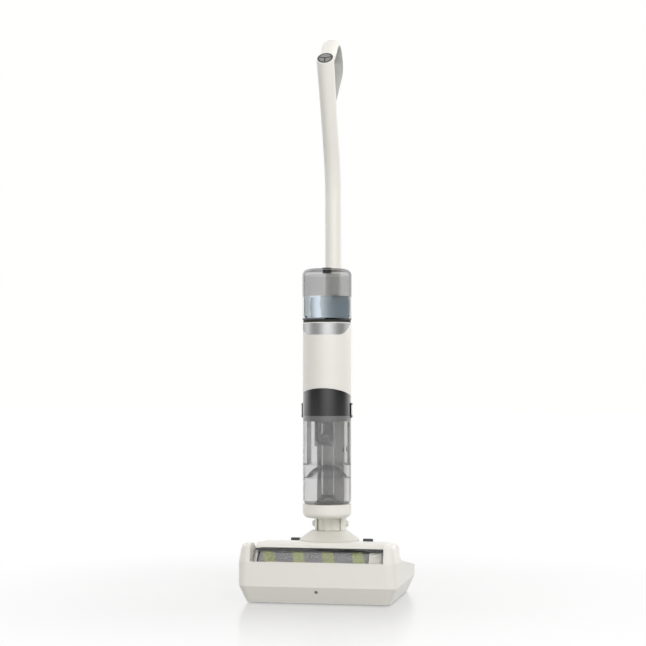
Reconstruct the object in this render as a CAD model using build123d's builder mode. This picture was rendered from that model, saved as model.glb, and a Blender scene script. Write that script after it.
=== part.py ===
from build123d import *
from math import atan2, cos, radians, sin, tan
import os

# Upright floor washer standing in its dock. +Z is up, -Y is the front, +X is the right side.
# The origin is at the middle of the dock on the floor. All sizes are millimetres.

os.makedirs("parts", exist_ok=True)

# Dock
dock_width = 303
dock_depth = 266
dock_corner = 18
hull_inset = 14
foot_height = 2
belt_height = 33
crease_height = 79
cheek_height = 112
cheek_taper = 11
cheek_round = 8
wing_front = 79
wing_rear = 52
cavity_width = 254.6
cavity_front = -125
cavity_rear = 108
deck_height = 26
tray_top = 29.7

# Floor head, which stands on its roller and wheels
stand_height = 30
head_width = 249
head_rear = 92
head_top = 110
head_slope_y = -20
head_slope_end = 66
head_slope_top = 99.5
chassis_bottom = 36
chassis_top = 98
roller_radius = 35
roller_y = -80
roller_z = stand_height + roller_radius
core_radius = 26
core_bore = 23
roller_left = -113.5
roller_right = 95.5
window_outer = 41
window_wall = 2
wheel_radius = 16
wheel_width = 16
wheel_x = 92
wheel_y = 70
button_x = 72
button_y = 30

# Neck, with the recline pins across it
neck_y = 17
neck_radius = 31
neck_bottom = 128.8
neck_top = 154.6
pin_z = 141
pin_radius = 3
ear_inner = 20
ear_outer = 24.5

# Main body: a front cylinder with a spine behind it
body_y = -20
body_radius = 47
shell_wall = 2.5
collar_bottom = 155.2
collar_top = 181.7
tank_bottom = 182.2
tank_top = 341.5
lid_bottom = 352
seam_peak = 404.8
seam_tilt = 18.5
seam_gap = 0.5
band_bottom = 508
band_top = 532
seat_top = 536.9
clean_bottom = 537.5
clean_top = 636
spine_half = 28
spine_rear = 66
fit = 0.05

# Handle
tube_y = 45
tube_radius = 16
tube_wall = 2
tube_bottom = 440
tube_corner_z = 821
tube_bend = 300
lean = 20.5
stem_bottom_z = 940
panel_z = 1046
panel_tilt = 45

lean_direction = Vector(0, -sin(radians(lean)), cos(radians(lean)))


def stem_y(height):
    return tube_y - tan(radians(lean)) * (height - tube_corner_z)


panel_plane = Plane(
    origin=(0, stem_y(panel_z), panel_z),
    x_dir=(1, 0, 0),
    z_dir=(0, -sin(radians(panel_tilt)), cos(radians(panel_tilt))),
)
roller_plane = Plane(origin=(0, roller_y, roller_z), x_dir=(0, 1, 0), z_dir=(1, 0, 0))
pin_plane = Plane(origin=(0, neck_y, pin_z), x_dir=(0, 1, 0), z_dir=(1, 0, 0))
body_plane = Plane(origin=(0, body_y, 0), x_dir=(1, 0, 0), z_dir=(0, 0, 1))

# The lid meets the motor housing on a plane that falls towards the back
seam_plane = Plane(
    origin=(0, body_y - body_radius, seam_peak),
    x_dir=(1, 0, 0),
    z_dir=(0, sin(radians(seam_tilt)), cos(radians(seam_tilt))),
)

# The indicator sits square to the sloping front of the hull
hull_slope = atan2(hull_inset, belt_height - foot_height)
lens_z = 24
lens_plane = Plane(
    origin=(0, -dock_depth / 2 + (belt_height - lens_z) * tan(hull_slope), lens_z),
    x_dir=(1, 0, 0),
    z_dir=(0, -cos(hull_slope), -sin(hull_slope)),
)
lens_radius = 3.4
inlet_x = 0
inlet_z = 41.5
inlet_radius = 6
inlet_length = 14
inlet_plane = Plane(origin=(inlet_x, dock_depth / 2, inlet_z), x_dir=(1, 0, 0), z_dir=(0, 1, 0))

# Dock shell: a boat-shaped hull, low sloping wings and a tall front cup round the roller
with BuildPart() as dock_rim:
    with BuildSketch(Plane.XY.offset(belt_height)):
        RectangleRounded(dock_width, dock_depth, dock_corner)
    extrude(amount=crease_height - belt_height)
    with BuildSketch(Plane.XY.offset(crease_height)):
        RectangleRounded(dock_width, dock_depth, dock_corner)
    extrude(amount=cheek_height - crease_height, taper=cheek_taper)
    fillet(dock_rim.faces().sort_by(Axis.Z)[-1].edges(), radius=cheek_round)
    with BuildSketch(Plane.YZ):
        with BuildLine():
            Polyline(
                (-98, cheek_height), (-98, 2 * cheek_height), (dock_depth, 2 * cheek_height),
                (dock_depth, wing_rear - 18), (dock_depth / 2, wing_rear), (-56, wing_front),
            )
            ThreePointArc((-56, wing_front), (-66, 82), (-73, 89))
            ThreePointArc((-73, 89), (-83, 104), (-98, cheek_height))
        make_face()
    extrude(amount=dock_width, both=True, mode=Mode.SUBTRACT)

with BuildPart() as dock_shell:
    with BuildSketch(Plane.XY.offset(foot_height)):
        RectangleRounded(dock_width - 2 * hull_inset, dock_depth - 2 * hull_inset, dock_corner - 8)
    with BuildSketch(Plane.XY.offset(belt_height)):
        RectangleRounded(dock_width, dock_depth, dock_corner)
    loft()
    add(dock_rim.part)
    with BuildSketch(Plane.XY.offset(deck_height)):
        with Locations((0, (cavity_front + cavity_rear) / 2)):
            RectangleRounded(cavity_width, cavity_rear - cavity_front, 12)
    extrude(amount=2 * cheek_height, mode=Mode.SUBTRACT)
    with Locations((0, cavity_front, crease_height)):
        Box(cavity_width, 60, cheek_height, align=(Align.CENTER, Align.CENTER, Align.MIN), mode=Mode.SUBTRACT)
    with BuildSketch(Plane.XY.offset(foot_height)):
        RectangleRounded(dock_width - 2 * hull_inset - 12, dock_depth - 2 * hull_inset - 12, 14)
    extrude(amount=18, mode=Mode.SUBTRACT)
    with BuildSketch(lens_plane):
        Circle(lens_radius)
    extrude(amount=-4, mode=Mode.SUBTRACT)
    with BuildSketch(inlet_plane):
        Circle(inlet_radius)
    extrude(amount=-inlet_length, mode=Mode.SUBTRACT)
dock_shell.part.label = "dock_shell"
export_step(dock_shell.part, "parts/dock_shell.step")

with BuildPart() as dock_indicator:
    with BuildSketch(lens_plane.offset(-4)):
        Circle(lens_radius)
    extrude(amount=4.4)
    fillet(dock_indicator.faces().sort_by(Axis.Y)[0].edges(), radius=0.8)
dock_indicator.part.label = "dock_indicator"
export_step(dock_indicator.part, "parts/dock_indicator.step")

with BuildPart() as dock_inlet:
    with BuildSketch(inlet_plane.offset(-inlet_length)):
        Circle(inlet_radius)
    extrude(amount=inlet_length)
    with BuildSketch(inlet_plane):
        Circle(inlet_radius - 2)
        Circle(1.2, mode=Mode.SUBTRACT)
    extrude(amount=-inlet_length + 3, mode=Mode.SUBTRACT)
dock_inlet.part.label = "dock_inlet"
export_step(dock_inlet.part, "parts/dock_inlet.step")

with BuildPart() as dock_tray:
    with BuildSketch(Plane.XY.offset(deck_height)):
        with Locations((0, (cavity_front + cavity_rear) / 2)):
            RectangleRounded(cavity_width - 0.2, cavity_rear - cavity_front - 0.2, 12)
    extrude(amount=20)
    with BuildSketch(Plane.XY.offset(tray_top)):
        with Locations((0, (cavity_front + cavity_rear) / 2)):
            RectangleRounded(cavity_width - 3.2, cavity_rear - cavity_front - 3.2, 10.5)
    extrude(amount=30, mode=Mode.SUBTRACT)
    with BuildSketch(roller_plane):
        Circle(roller_radius + 2)
    extrude(amount=123, both=True, mode=Mode.SUBTRACT)
dock_tray.part.label = "dock_tray"
export_step(dock_tray.part, "parts/dock_tray.step")

plate_width = dock_width - 2 * hull_inset - 12.4
plate_depth = dock_depth - 2 * hull_inset - 12.4
with BuildPart() as dock_base_plate:
    with BuildSketch(Plane.XY.offset(foot_height)):
        RectangleRounded(plate_width, plate_depth, 13.8)
        with GridLocations(2 * plate_width / 3, 14, 2, 5):
            SlotOverall(40, 5, mode=Mode.SUBTRACT)
    extrude(amount=3)
dock_base_plate.part.label = "dock_base_plate"
export_step(dock_base_plate.part, "parts/dock_base_plate.step")

with BuildPart() as dock_feet:
    with BuildSketch():
        with GridLocations(plate_width - 40, plate_depth - 40, 2, 2):
            Circle(11)
    extrude(amount=foot_height)
dock_feet.part.label = "dock_feet"
export_step(dock_feet.part, "parts/dock_feet.step")

contact_y = 40
with BuildPart() as dock_contacts:
    with BuildSketch(Plane.XY.offset(tray_top)):
        with Locations((0, contact_y)):
            with GridLocations(36, 0, 2, 1):
                Circle(4)
    extrude(amount=3)
    with BuildSketch(Plane.XY.offset(tray_top + 3)):
        with Locations((0, contact_y)):
            with GridLocations(36, 0, 2, 1):
                Circle(2.4)
    extrude(amount=2.6)
dock_contacts.part.label = "dock_contacts"
export_step(dock_contacts.part, "parts/dock_contacts.step")

# Floor head: chassis with the roller arch, an open tub and two wheel arches
blade_angle = 8
blade_tip = roller_radius + 0.4
blade_root = roller_radius + 11
end_plate_inner = 119
end_plate_radius = 32
with BuildPart() as head_chassis:
    with BuildSketch(Plane.YZ):
        Polygon(
            (-72, chassis_bottom), (84, chassis_bottom), (head_rear, 44), (head_rear, 72),
            (head_slope_end, 88), (head_slope_y, chassis_top), (-74, chassis_top), align=None,
        )
    extrude(amount=head_width / 2 - 1, both=True)
    for side in (-1, 1):
        with BuildSketch(roller_plane.offset(side * end_plate_inner)):
            Circle(end_plate_radius)
        extrude(amount=side * (head_width / 2 - 1 - end_plate_inner))
    with BuildSketch(roller_plane):
        Circle(window_outer - window_wall - 0.5)
    extrude(amount=end_plate_inner, both=True, mode=Mode.SUBTRACT)
    with BuildSketch(Plane.XY.offset(45)):
        with Locations((0, 12)):
            RectangleRounded(150, 88, 8)
    extrude(amount=80, mode=Mode.SUBTRACT)
    with Locations((0, -36, 53)):
        Box(90, 24, 9, mode=Mode.SUBTRACT)
    with Locations((wheel_x, wheel_y, stand_height), (-wheel_x, wheel_y, stand_height)):
        Box(wheel_width + 5, 2 * wheel_radius + 6, 74, mode=Mode.SUBTRACT)
    with BuildSketch(Plane.YZ):
        with Locations((wheel_y, stand_height + wheel_radius)):
            Circle(pin_radius)
    extrude(amount=wheel_x + 15, both=True, mode=Mode.SUBTRACT)
    with BuildSketch(roller_plane):
        with Locations(Location((0, 0), blade_angle)):
            with Locations(((blade_tip + blade_root) / 2, 0)):
                Rectangle(blade_root - blade_tip, 2.4)
    extrude(amount=end_plate_inner - 4, both=True, mode=Mode.SUBTRACT)
head_chassis.part.label = "head_chassis"
export_step(head_chassis.part, "parts/head_chassis.step")

with BuildPart() as scraper_blade:
    with BuildSketch(roller_plane):
        with Locations(Location((0, 0), blade_angle)):
            with Locations(((blade_tip + blade_root) / 2, 0)):
                Rectangle(blade_root - blade_tip, 2.4)
    extrude(amount=end_plate_inner - 4, both=True)
scraper_blade.part.label = "scraper_blade"
export_step(scraper_blade.part, "parts/scraper_blade.step")

# Top cover of the head, a thin shell with the neck opening and two button holes
cover_front = -66
cover_wall = 3
with BuildPart() as head_cover:
    with BuildSketch(Plane.YZ):
        Polygon(
            (cover_front, chassis_top), (cover_front, head_top), (head_slope_y, head_top),
            (head_slope_end, head_slope_top), (head_rear, 84), (head_rear, 72), (head_slope_end, 88),
            (head_slope_y, chassis_top), align=None,
        )
    extrude(amount=head_width / 2, both=True)
    side_edges = head_cover.faces().filter_by(Axis.X).edges()
    fillet(side_edges.filter_by(lambda edge: edge.center().Z > head_slope_top), radius=6)
    with BuildSketch(Plane.YZ):
        Polygon(
            (cover_front + cover_wall, chassis_top), (cover_front + cover_wall, head_top - cover_wall),
            (head_slope_y, head_top - cover_wall), (head_slope_end - 1, head_slope_top - cover_wall),
            (head_rear - cover_wall, 81), (head_rear - cover_wall, 74), (head_slope_end, 88),
            (head_slope_y, chassis_top), align=None,
        )
    extrude(amount=head_width / 2 - 5, both=True, mode=Mode.SUBTRACT)
    with Locations((0, neck_y - 9, 80)):
        Box(67, 46, 60, align=(Align.CENTER, Align.MIN, Align.MIN), mode=Mode.SUBTRACT)
    with BuildSketch(Plane.XY.offset(80)):
        with Locations((button_x, button_y), (-button_x, button_y)):
            SlotOverall(21, 11)
    extrude(amount=40, mode=Mode.SUBTRACT)
head_cover.part.label = "head_cover"
export_step(head_cover.part, "parts/head_cover.step")

button_bottom = 97
for side, name in ((-1, "release_button_left"), (1, "release_button_right")):
    with BuildPart() as release_button:
        with BuildSketch(Plane.XY.offset(button_bottom)):
            with Locations((side * button_x, button_y)):
                SlotOverall(20, 10)
        extrude(amount=head_top + 0.8 - button_bottom)
        fillet(release_button.faces().sort_by(Axis.Z)[-1].edges(), radius=1.2)
    release_button.part.label = name
    export_step(release_button.part, f"parts/{name}.step")

# Domed cover round the neck, open at the back so that the neck can recline
dome_y = 4
dome_radius = 58
dome_top = 128.5
dome_flat = 35
dome_skirt = 92
with BuildPart() as neck_dome:
    with BuildSketch(Plane(origin=(0, dome_y, 0), x_dir=(1, 0, 0), z_dir=(0, -1, 0))):
        with BuildLine():
            Polyline((0, dome_top), (dome_flat, dome_top))
            ThreePointArc((dome_flat, dome_top), (47, 119.9), (dome_radius, 111.5))
            Polyline(
                (dome_radius, 111.5), (dome_radius, dome_skirt),
                (dome_radius - 3, dome_skirt), (dome_radius - 3, 110),
            )
            ThreePointArc((dome_radius - 3, 110), (45.6, 117.2), (dome_flat - 1, dome_top - 3))
            Polyline((dome_flat - 1, dome_top - 3), (0, dome_top - 3), (0, dome_top))
        make_face()
    revolve(axis=Axis((0, dome_y, 0), (0, 0, 1)))
    with BuildSketch(Plane.YZ):
        Polygon(
            (-90, head_top + 0.1), (head_slope_y, head_top + 0.1), (head_slope_end, head_slope_top + 0.1),
            (head_slope_end, 80), (-90, 80), align=None,
        )
    extrude(amount=dock_width, both=True, mode=Mode.SUBTRACT)
    with Locations((0, neck_y - 9, 80)):
        Box(67, 80, 70, align=(Align.CENTER, Align.MIN, Align.MIN), mode=Mode.SUBTRACT)
neck_dome.part.label = "neck_dome"
export_step(neck_dome.part, "parts/neck_dome.step")

# Bracket on the floor of the tub, with two ears that stand inside the neck
ear_round = 6
with BuildPart() as hinge_bracket:
    with BuildSketch(Plane.XY.offset(45)):
        with Locations((0, neck_y)):
            RectangleRounded(90, 44, 6)
            with GridLocations(78, 32, 2, 2):
                Circle(2, mode=Mode.SUBTRACT)
            Circle(14, mode=Mode.SUBTRACT)
    extrude(amount=4)
    for side in (-1, 1):
        with BuildSketch(pin_plane.offset(side * (ear_inner + ear_outer) / 2)):
            Circle(ear_round)
            Polygon((-ear_round, 0), (ear_round, 0), (7.5, 49 - pin_z), (-7.5, 49 - pin_z), align=None)
        extrude(amount=(ear_outer - ear_inner) / 2, both=True)
    with BuildSketch(pin_plane):
        Circle(pin_radius)
    extrude(amount=ear_outer + 1, both=True, mode=Mode.SUBTRACT)
hinge_bracket.part.label = "hinge_bracket"
export_step(hinge_bracket.part, "parts/hinge_bracket.step")

boss_outer = 32.2
cap_outer = 36
with BuildPart() as hinge_pins:
    for side in (-1, 1):
        with BuildSketch(pin_plane.offset(side * ear_inner)):
            Circle(pin_radius)
        extrude(amount=side * (boss_outer + 0.3 - ear_inner))
        with BuildSketch(pin_plane.offset(side * (boss_outer + 0.3))):
            Circle(5.6)
        extrude(amount=side * (cap_outer - boss_outer - 0.3))
    fillet(hinge_pins.faces().sort_by(Axis.X)[-1].edges(), radius=1.5)
    fillet(hinge_pins.faces().sort_by(Axis.X)[0].edges(), radius=1.5)
hinge_pins.part.label = "hinge_pins"
export_step(hinge_pins.part, "parts/hinge_pins.step")

# Water spray bar under the front of the head cover
spray_y = -54
spray_z = 103
with BuildPart() as spray_bar:
    with BuildSketch(Plane.YZ):
        with Locations((spray_y, spray_z)):
            Circle(3.4)
    extrude(amount=92, both=True)
    nozzle_plane = Plane(
        origin=(0, spray_y, spray_z), x_dir=(1, 0, 0),
        z_dir=(0, roller_y - spray_y, roller_z - spray_z),
    )
    with BuildSketch(nozzle_plane):
        with GridLocations(24, 0, 8, 1):
            Circle(1.4)
    extrude(amount=4.6)
spray_bar.part.label = "spray_bar"
export_step(spray_bar.part, "parts/spray_bar.step")

# Roller motor, held at the left end and lying inside the roller core
motor_inner_end = -24
with BuildPart() as roller_motor:
    with BuildSketch(roller_plane.offset(-end_plate_inner)):
        Circle(22)
    extrude(amount=3.5)
    with BuildSketch(roller_plane.offset(-end_plate_inner)):
        Circle(19)
    extrude(amount=end_plate_inner + motor_inner_end)
    with BuildSketch(roller_plane.offset(motor_inner_end)):
        Circle(4)
    extrude(amount=14)
roller_motor.part.label = "roller_motor"
export_step(roller_motor.part, "parts/roller_motor.step")

with BuildPart() as roller_core:
    with BuildSketch(roller_plane.offset(roller_left)):
        Circle(core_radius)
        Circle(core_bore, mode=Mode.SUBTRACT)
    extrude(amount=roller_right - roller_left)
    with BuildSketch(roller_plane.offset(-19)):
        Circle(core_bore)
        Circle(4 + fit, mode=Mode.SUBTRACT)
    extrude(amount=8)
    with BuildSketch(roller_plane.offset(roller_right - 8)):
        Circle(core_bore)
        Circle(6 + fit, mode=Mode.SUBTRACT)
    extrude(amount=8)
roller_core.part.label = "roller_core"
export_step(roller_core.part, "parts/roller_core.step")

with BuildPart() as roller_nap:
    with BuildSketch(roller_plane.offset(roller_left + 0.5)):
        Circle(roller_radius)
        Circle(core_radius, mode=Mode.SUBTRACT)
    extrude(amount=roller_right - roller_left - 1)
    fillet(roller_nap.edges().filter_by(GeomType.CIRCLE).group_by(SortBy.RADIUS)[-1], radius=2.5)
roller_nap.part.label = "roller_nap"
export_step(roller_nap.part, "parts/roller_nap.step")

with BuildPart() as roller_end_holder:
    with BuildSketch(roller_plane.offset(roller_right + 0.5)):
        Circle(roller_radius - 0.5)
    extrude(amount=end_plate_inner - roller_right - 0.5)
    fillet(roller_end_holder.faces().sort_by(Axis.X)[0].edges(), radius=1)
    with BuildSketch(roller_plane.offset(roller_right + 0.5)):
        Circle(6)
    extrude(amount=-16)
roller_end_holder.part.label = "roller_end_holder"
export_step(roller_end_holder.part, "parts/roller_end_holder.step")

# Lift-off roller cover: the clear window and the strip along its top edge
window_inner = window_outer - window_wall
window_start = 80
window_end = 202
window_half = 124
with BuildPart() as roller_window:
    with BuildSketch(roller_plane):
        with BuildLine():
            outer = CenterArc((0, 0), window_outer, window_start, window_end - window_start)
            inner = CenterArc((0, 0), window_inner, window_start, window_end - window_start)
            Line(outer @ 0, inner @ 0)
            Line(outer @ 1, inner @ 1)
        make_face()
    extrude(amount=window_half, both=True)
roller_window.part.label = "roller_window"
export_step(roller_window.part, "parts/roller_window.step")

strip_bottom = roller_z + window_outer + 0.05
with BuildPart() as cover_frame:
    with BuildSketch(Plane.YZ):
        with BuildLine():
            Polyline((-87, strip_bottom), (-70.5, strip_bottom), (-70.5, head_top + 1.5), (-77, head_top + 1.5))
            ThreePointArc((-77, head_top + 1.5), (-83.5, head_top - 0.6), (-87, strip_bottom))
        make_face()
    extrude(amount=window_half, both=True)
cover_frame.part.label = "cover_frame"
export_step(cover_frame.part, "parts/cover_frame.step")

# Rear wheels and their pins
wheel_z = stand_height + wheel_radius
with BuildPart() as wheel_axles:
    with BuildSketch(Plane.YZ.offset(wheel_x - 15)):
        with Locations((wheel_y, wheel_z)):
            Circle(pin_radius)
    extrude(amount=30)
    mirror(about=Plane.YZ)
wheel_axles.part.label = "wheel_axles"
export_step(wheel_axles.part, "parts/wheel_axles.step")

for side, name in ((-1, "wheel_left"), (1, "wheel_right")):
    with BuildPart() as wheel:
        with BuildSketch(Plane.YZ.offset(side * wheel_x)):
            with Locations((wheel_y, wheel_z)):
                Circle(wheel_radius)
        extrude(amount=wheel_width / 2, both=True)
        fillet(wheel.edges().filter_by(GeomType.CIRCLE), radius=2)
        with BuildSketch(Plane.YZ.offset(side * (wheel_x + wheel_width / 2))):
            with Locations((wheel_y, wheel_z)):
                Circle(11)
                Circle(6, mode=Mode.SUBTRACT)
        extrude(amount=-side * 3, mode=Mode.SUBTRACT)
        with BuildSketch(Plane.YZ):
            with Locations((wheel_y, wheel_z)):
                Circle(pin_radius + fit)
        extrude(amount=2 * side * wheel_x, mode=Mode.SUBTRACT)
    wheel.part.label = name
    export_step(wheel.part, f"parts/{name}.step")

# Neck knuckle: reclines on the pins, and carries the body on a round spigot
spigot_radius = 19
spigot_bottom = 147
duct_radius = 13
rib_top = 18
rib_foot = 10.5
rib_depth = 1.5
facet_depth = 3.5
facet_half = 24
with BuildPart() as neck_knuckle:
    with BuildSketch(Plane.XY.offset(neck_bottom)):
        with Locations((0, neck_y)):
            Circle(neck_radius)
    extrude(amount=neck_top - neck_bottom)
    with BuildSketch(Plane.XY.offset(neck_bottom)):
        with Locations((0, neck_y)):
            Circle(neck_radius + 1)
            Circle(neck_radius - facet_depth, mode=Mode.SUBTRACT)
        with Locations((0, neck_y - neck_radius)):
            Rectangle(2 * facet_half, 2 * neck_radius - 20, mode=Mode.INTERSECT)
    extrude(amount=neck_top - neck_bottom - 3, mode=Mode.SUBTRACT)
    with BuildSketch(Plane.XZ.offset(-neck_y)):
        Polygon(
            (-rib_foot / 2, neck_bottom), (rib_foot / 2, neck_bottom),
            (rib_top / 2, neck_top), (-rib_top / 2, neck_top), align=None,
        )
    extrude(amount=neck_radius + rib_depth)
    rib_edges = neck_knuckle.faces().sort_by(Axis.Y)[0].edges()
    fillet(rib_edges.filter_by(lambda edge: abs(edge.center().X) > 1), radius=2.5)
    with BuildSketch(pin_plane):
        Circle(7)
    extrude(amount=boss_outer, both=True)
    with BuildSketch(Plane.XY.offset(neck_bottom)):
        with Locations((0, neck_y)):
            Circle(duct_radius)
    extrude(amount=40, mode=Mode.SUBTRACT)
    with BuildSketch(Plane.XY.offset(spigot_bottom - 0.5)):
        with Locations((0, neck_y)):
            Circle(spigot_radius + 0.1)
    extrude(amount=20, mode=Mode.SUBTRACT)
    for side in (-1, 1):
        with BuildSketch(pin_plane.offset(side * (ear_inner - 0.5))):
            Circle(ear_round + 1)
            with Locations((neck_radius / 2 - ear_round / 2, neck_bottom / 2 - pin_z / 2)):
                Rectangle(neck_radius + ear_round + 4, pin_z - neck_bottom + 2)
            with Locations((neck_radius / 2 + 2, 0)):
                Rectangle(neck_radius + 4, 2 * ear_round + 2)
        extrude(amount=side * (ear_outer - ear_inner + 1), mode=Mode.SUBTRACT)
    with BuildSketch(pin_plane):
        Circle(pin_radius + fit)
    extrude(amount=neck_radius + 5, both=True, mode=Mode.SUBTRACT)
neck_knuckle.part.label = "neck_knuckle"
export_step(neck_knuckle.part, "parts/neck_knuckle.step")

# Base collar: rounded cup under the dirty tank, with the dirty-water duct through it
pipe_y = -10
with BuildPart() as base_collar:
    with BuildSketch(body_plane.offset(collar_bottom)):
        Circle(body_radius)
    extrude(amount=collar_top - collar_bottom)
    fillet(base_collar.faces().sort_by(Axis.Z)[0].edges(), radius=11)
    with BuildSketch(Plane.XY.offset(collar_bottom)):
        with Locations((0, neck_y)):
            Circle(neck_radius)
    extrude(amount=collar_top - collar_bottom)
    with BuildSketch(Plane.XY.offset(spigot_bottom)):
        with Locations((0, neck_y)):
            Circle(spigot_radius)
    extrude(amount=collar_bottom - spigot_bottom)
    with BuildSketch(Plane.XY.offset(spigot_bottom)):
        with Locations((0, neck_y)):
            Circle(duct_radius)
    extrude(amount=24, mode=Mode.SUBTRACT)
    with BuildSketch(Plane.XY.offset(spigot_bottom + 12)):
        with Locations((0, (neck_y + pipe_y) / 2)):
            SlotCenterToCenter(neck_y - pipe_y, 2 * duct_radius - 4, rotation=90)
    extrude(amount=12, mode=Mode.SUBTRACT)
    with BuildSketch(Plane.XY.offset(spigot_bottom + 12)):
        with Locations((0, pipe_y)):
            Circle(11)
    extrude(amount=40, mode=Mode.SUBTRACT)
base_collar.part.label = "base_collar"
export_step(base_collar.part, "parts/base_collar.step")

# Spine behind the tanks, from the collar up to the tube, with the battery inside it
battery_size = (40, 26, 150)
battery_y = 46
battery_z = 310
with BuildPart() as rear_spine:
    with BuildSketch(Plane.YZ):
        Polygon(
            (10, collar_top), (46, collar_top), (spine_rear, 232), (spine_rear, 500),
            (spine_rear - 4, 512), (10, 520), align=None,
        )
    extrude(amount=spine_half, both=True)
    fillet(rear_spine.edges().filter_by(Axis.Z), radius=12)
    with BuildSketch(body_plane.offset(collar_top)):
        Circle(body_radius + 0.1)
    extrude(amount=600, mode=Mode.SUBTRACT)
    with BuildSketch(Plane.XY.offset(tube_bottom)):
        with Locations((0, tube_y)):
            Circle(tube_radius)
    extrude(amount=200, mode=Mode.SUBTRACT)
    with Locations((0, battery_y, battery_z)):
        Box(battery_size[0] + 1, battery_size[1] + 1, battery_size[2] + 1, mode=Mode.SUBTRACT)
rear_spine.part.label = "rear_spine"
export_step(rear_spine.part, "parts/rear_spine.step")

cell_radius = 9
with BuildPart() as battery_pack:
    with Locations((0, battery_y, battery_z)):
        Box(*battery_size)
    with BuildSketch(Plane.XZ.offset(-battery_y + battery_size[1] / 2)):
        with Locations((0, battery_z)):
            with GridLocations(0, 2 * cell_radius + 2, 1, 7):
                SlotOverall(battery_size[0] - 4, 2 * cell_radius - 2)
    extrude(amount=-2, mode=Mode.SUBTRACT)
battery_pack.part.label = "battery_pack"
export_step(battery_pack.part, "parts/battery_pack.step")

# Motor housing in two shells, slanting at the bottom, with a cut-out for the display
housing_seam = -24
panel_top = band_top - 1.8


def display_outline():
    with BuildLine() as outline:
        half = body_radius + 1
        corner = 31
        Polyline((-corner, band_bottom), (corner, band_bottom))
        ThreePointArc((corner, band_bottom), (40.5, band_bottom + 6), (45.5, band_bottom + 18))
        Polyline((45.5, band_bottom + 18), (half, panel_top), (-half, panel_top), (-45.5, band_bottom + 18))
        ThreePointArc((-45.5, band_bottom + 18), (-40.5, band_bottom + 6), (-corner, band_bottom))
    return outline


housing_floor = 4
seam_foot = seam_peak - 2 * body_radius * tan(radians(seam_tilt))
with BuildPart() as housing:
    with BuildSketch(body_plane.offset(seam_foot)):
        Circle(body_radius)
    extrude(amount=band_top - seam_foot)
    split(bisect_by=seam_plane.offset(seam_gap), keep=Keep.TOP)
    with BuildPart(mode=Mode.SUBTRACT):
        with BuildSketch(body_plane.offset(seam_foot)):
            Circle(body_radius - shell_wall)
        extrude(amount=200)
        split(bisect_by=seam_plane.offset(seam_gap + housing_floor), keep=Keep.TOP)
    with BuildSketch(body_plane.offset(seam_foot)):
        with PolarLocations(22, 6):
            Circle(8)
    extrude(amount=40, mode=Mode.SUBTRACT)

with BuildPart() as motor_housing_front:
    add(housing.part)
    split(bisect_by=Plane.XZ.offset(-housing_seam), keep=Keep.TOP)
    with BuildSketch(Plane.XZ):
        with BuildLine():
            add(display_outline().line)
        make_face()
    extrude(amount=dock_depth, mode=Mode.SUBTRACT)
motor_housing_front.part.label = "motor_housing_front"
export_step(motor_housing_front.part, "parts/motor_housing_front.step")

with BuildPart() as motor_housing_rear:
    add(housing.part)
    split(bisect_by=Plane.XZ.offset(-housing_seam), keep=Keep.BOTTOM)
motor_housing_rear.part.label = "motor_housing_rear"
export_step(motor_housing_rear.part, "parts/motor_housing_rear.step")

with BuildPart() as display_panel:
    with BuildSketch(body_plane.offset(band_bottom)):
        Circle(body_radius)
        Circle(body_radius - shell_wall, mode=Mode.SUBTRACT)
    extrude(amount=band_top - band_bottom)
    split(bisect_by=Plane.XZ.offset(-housing_seam), keep=Keep.TOP)
    with BuildSketch(Plane.XZ):
        with BuildLine():
            add(display_outline().line)
        make_face()
    extrude(amount=dock_depth, mode=Mode.INTERSECT)
display_panel.part.label = "display_panel"
export_step(display_panel.part, "parts/display_panel.step")

# Seat for the clean tank: a cup inside the housing with a dark rim on top
with BuildPart() as tank_seat:
    with BuildSketch(body_plane.offset(band_bottom)):
        Circle(body_radius - shell_wall - 0.1)
    extrude(amount=band_top - band_bottom)
    with BuildSketch(body_plane.offset(band_top)):
        Circle(body_radius - 0.8)
    extrude(amount=seat_top - band_top)
    with BuildSketch(body_plane.offset(band_bottom + 3)):
        Circle(body_radius - shell_wall - 3)
    extrude(amount=band_top - band_bottom - 3, mode=Mode.SUBTRACT)
    with BuildSketch(body_plane.offset(band_bottom)):
        Circle(6)
    extrude(amount=60, mode=Mode.SUBTRACT)
tank_seat.part.label = "tank_seat"
export_step(tank_seat.part, "parts/tank_seat.step")

with BuildPart() as control_board:
    with Locations((0, body_y - 32, band_bottom + 12)):
        Box(44, 1.6, 17)
    with Locations((0, body_y - 33.8, band_bottom + 12)):
        with GridLocations(14, 0, 3, 1):
            Box(9, 2, 9)
control_board.part.label = "control_board"
export_step(control_board.part, "parts/control_board.step")

with BuildPart() as water_pump:
    with BuildSketch(Plane.YZ.offset(-14)):
        with Locations((body_y + 24, band_bottom + 12)):
            Circle(8.5)
    extrude(amount=28)
    with BuildSketch(Plane.YZ.offset(14)):
        with Locations((body_y + 24, band_bottom + 12)):
            Circle(3)
    extrude(amount=7)
water_pump.part.label = "water_pump"
export_step(water_pump.part, "parts/water_pump.step")

# Suction motor and its impeller
impeller_bottom = 416
impeller_radius = 36
blade_count = 9
shaft_radius = 4
motor_bottom = 440
with BuildPart() as suction_motor:
    with BuildSketch(body_plane.offset(motor_bottom)):
        Circle(36)
    extrude(amount=22)
    with BuildSketch(body_plane.offset(motor_bottom + 22)):
        Circle(30)
    extrude(amount=30)
    fillet(suction_motor.faces().sort_by(Axis.Z)[-1].edges(), radius=4)
    with BuildSketch(body_plane.offset(motor_bottom + 22)):
        with PolarLocations(36, 8):
            Circle(5)
    extrude(amount=-14, mode=Mode.SUBTRACT)
    with BuildSketch(body_plane.offset(motor_bottom)):
        Circle(shaft_radius + fit)
    extrude(amount=26, mode=Mode.SUBTRACT)
suction_motor.part.label = "suction_motor"
export_step(suction_motor.part, "parts/suction_motor.step")

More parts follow.
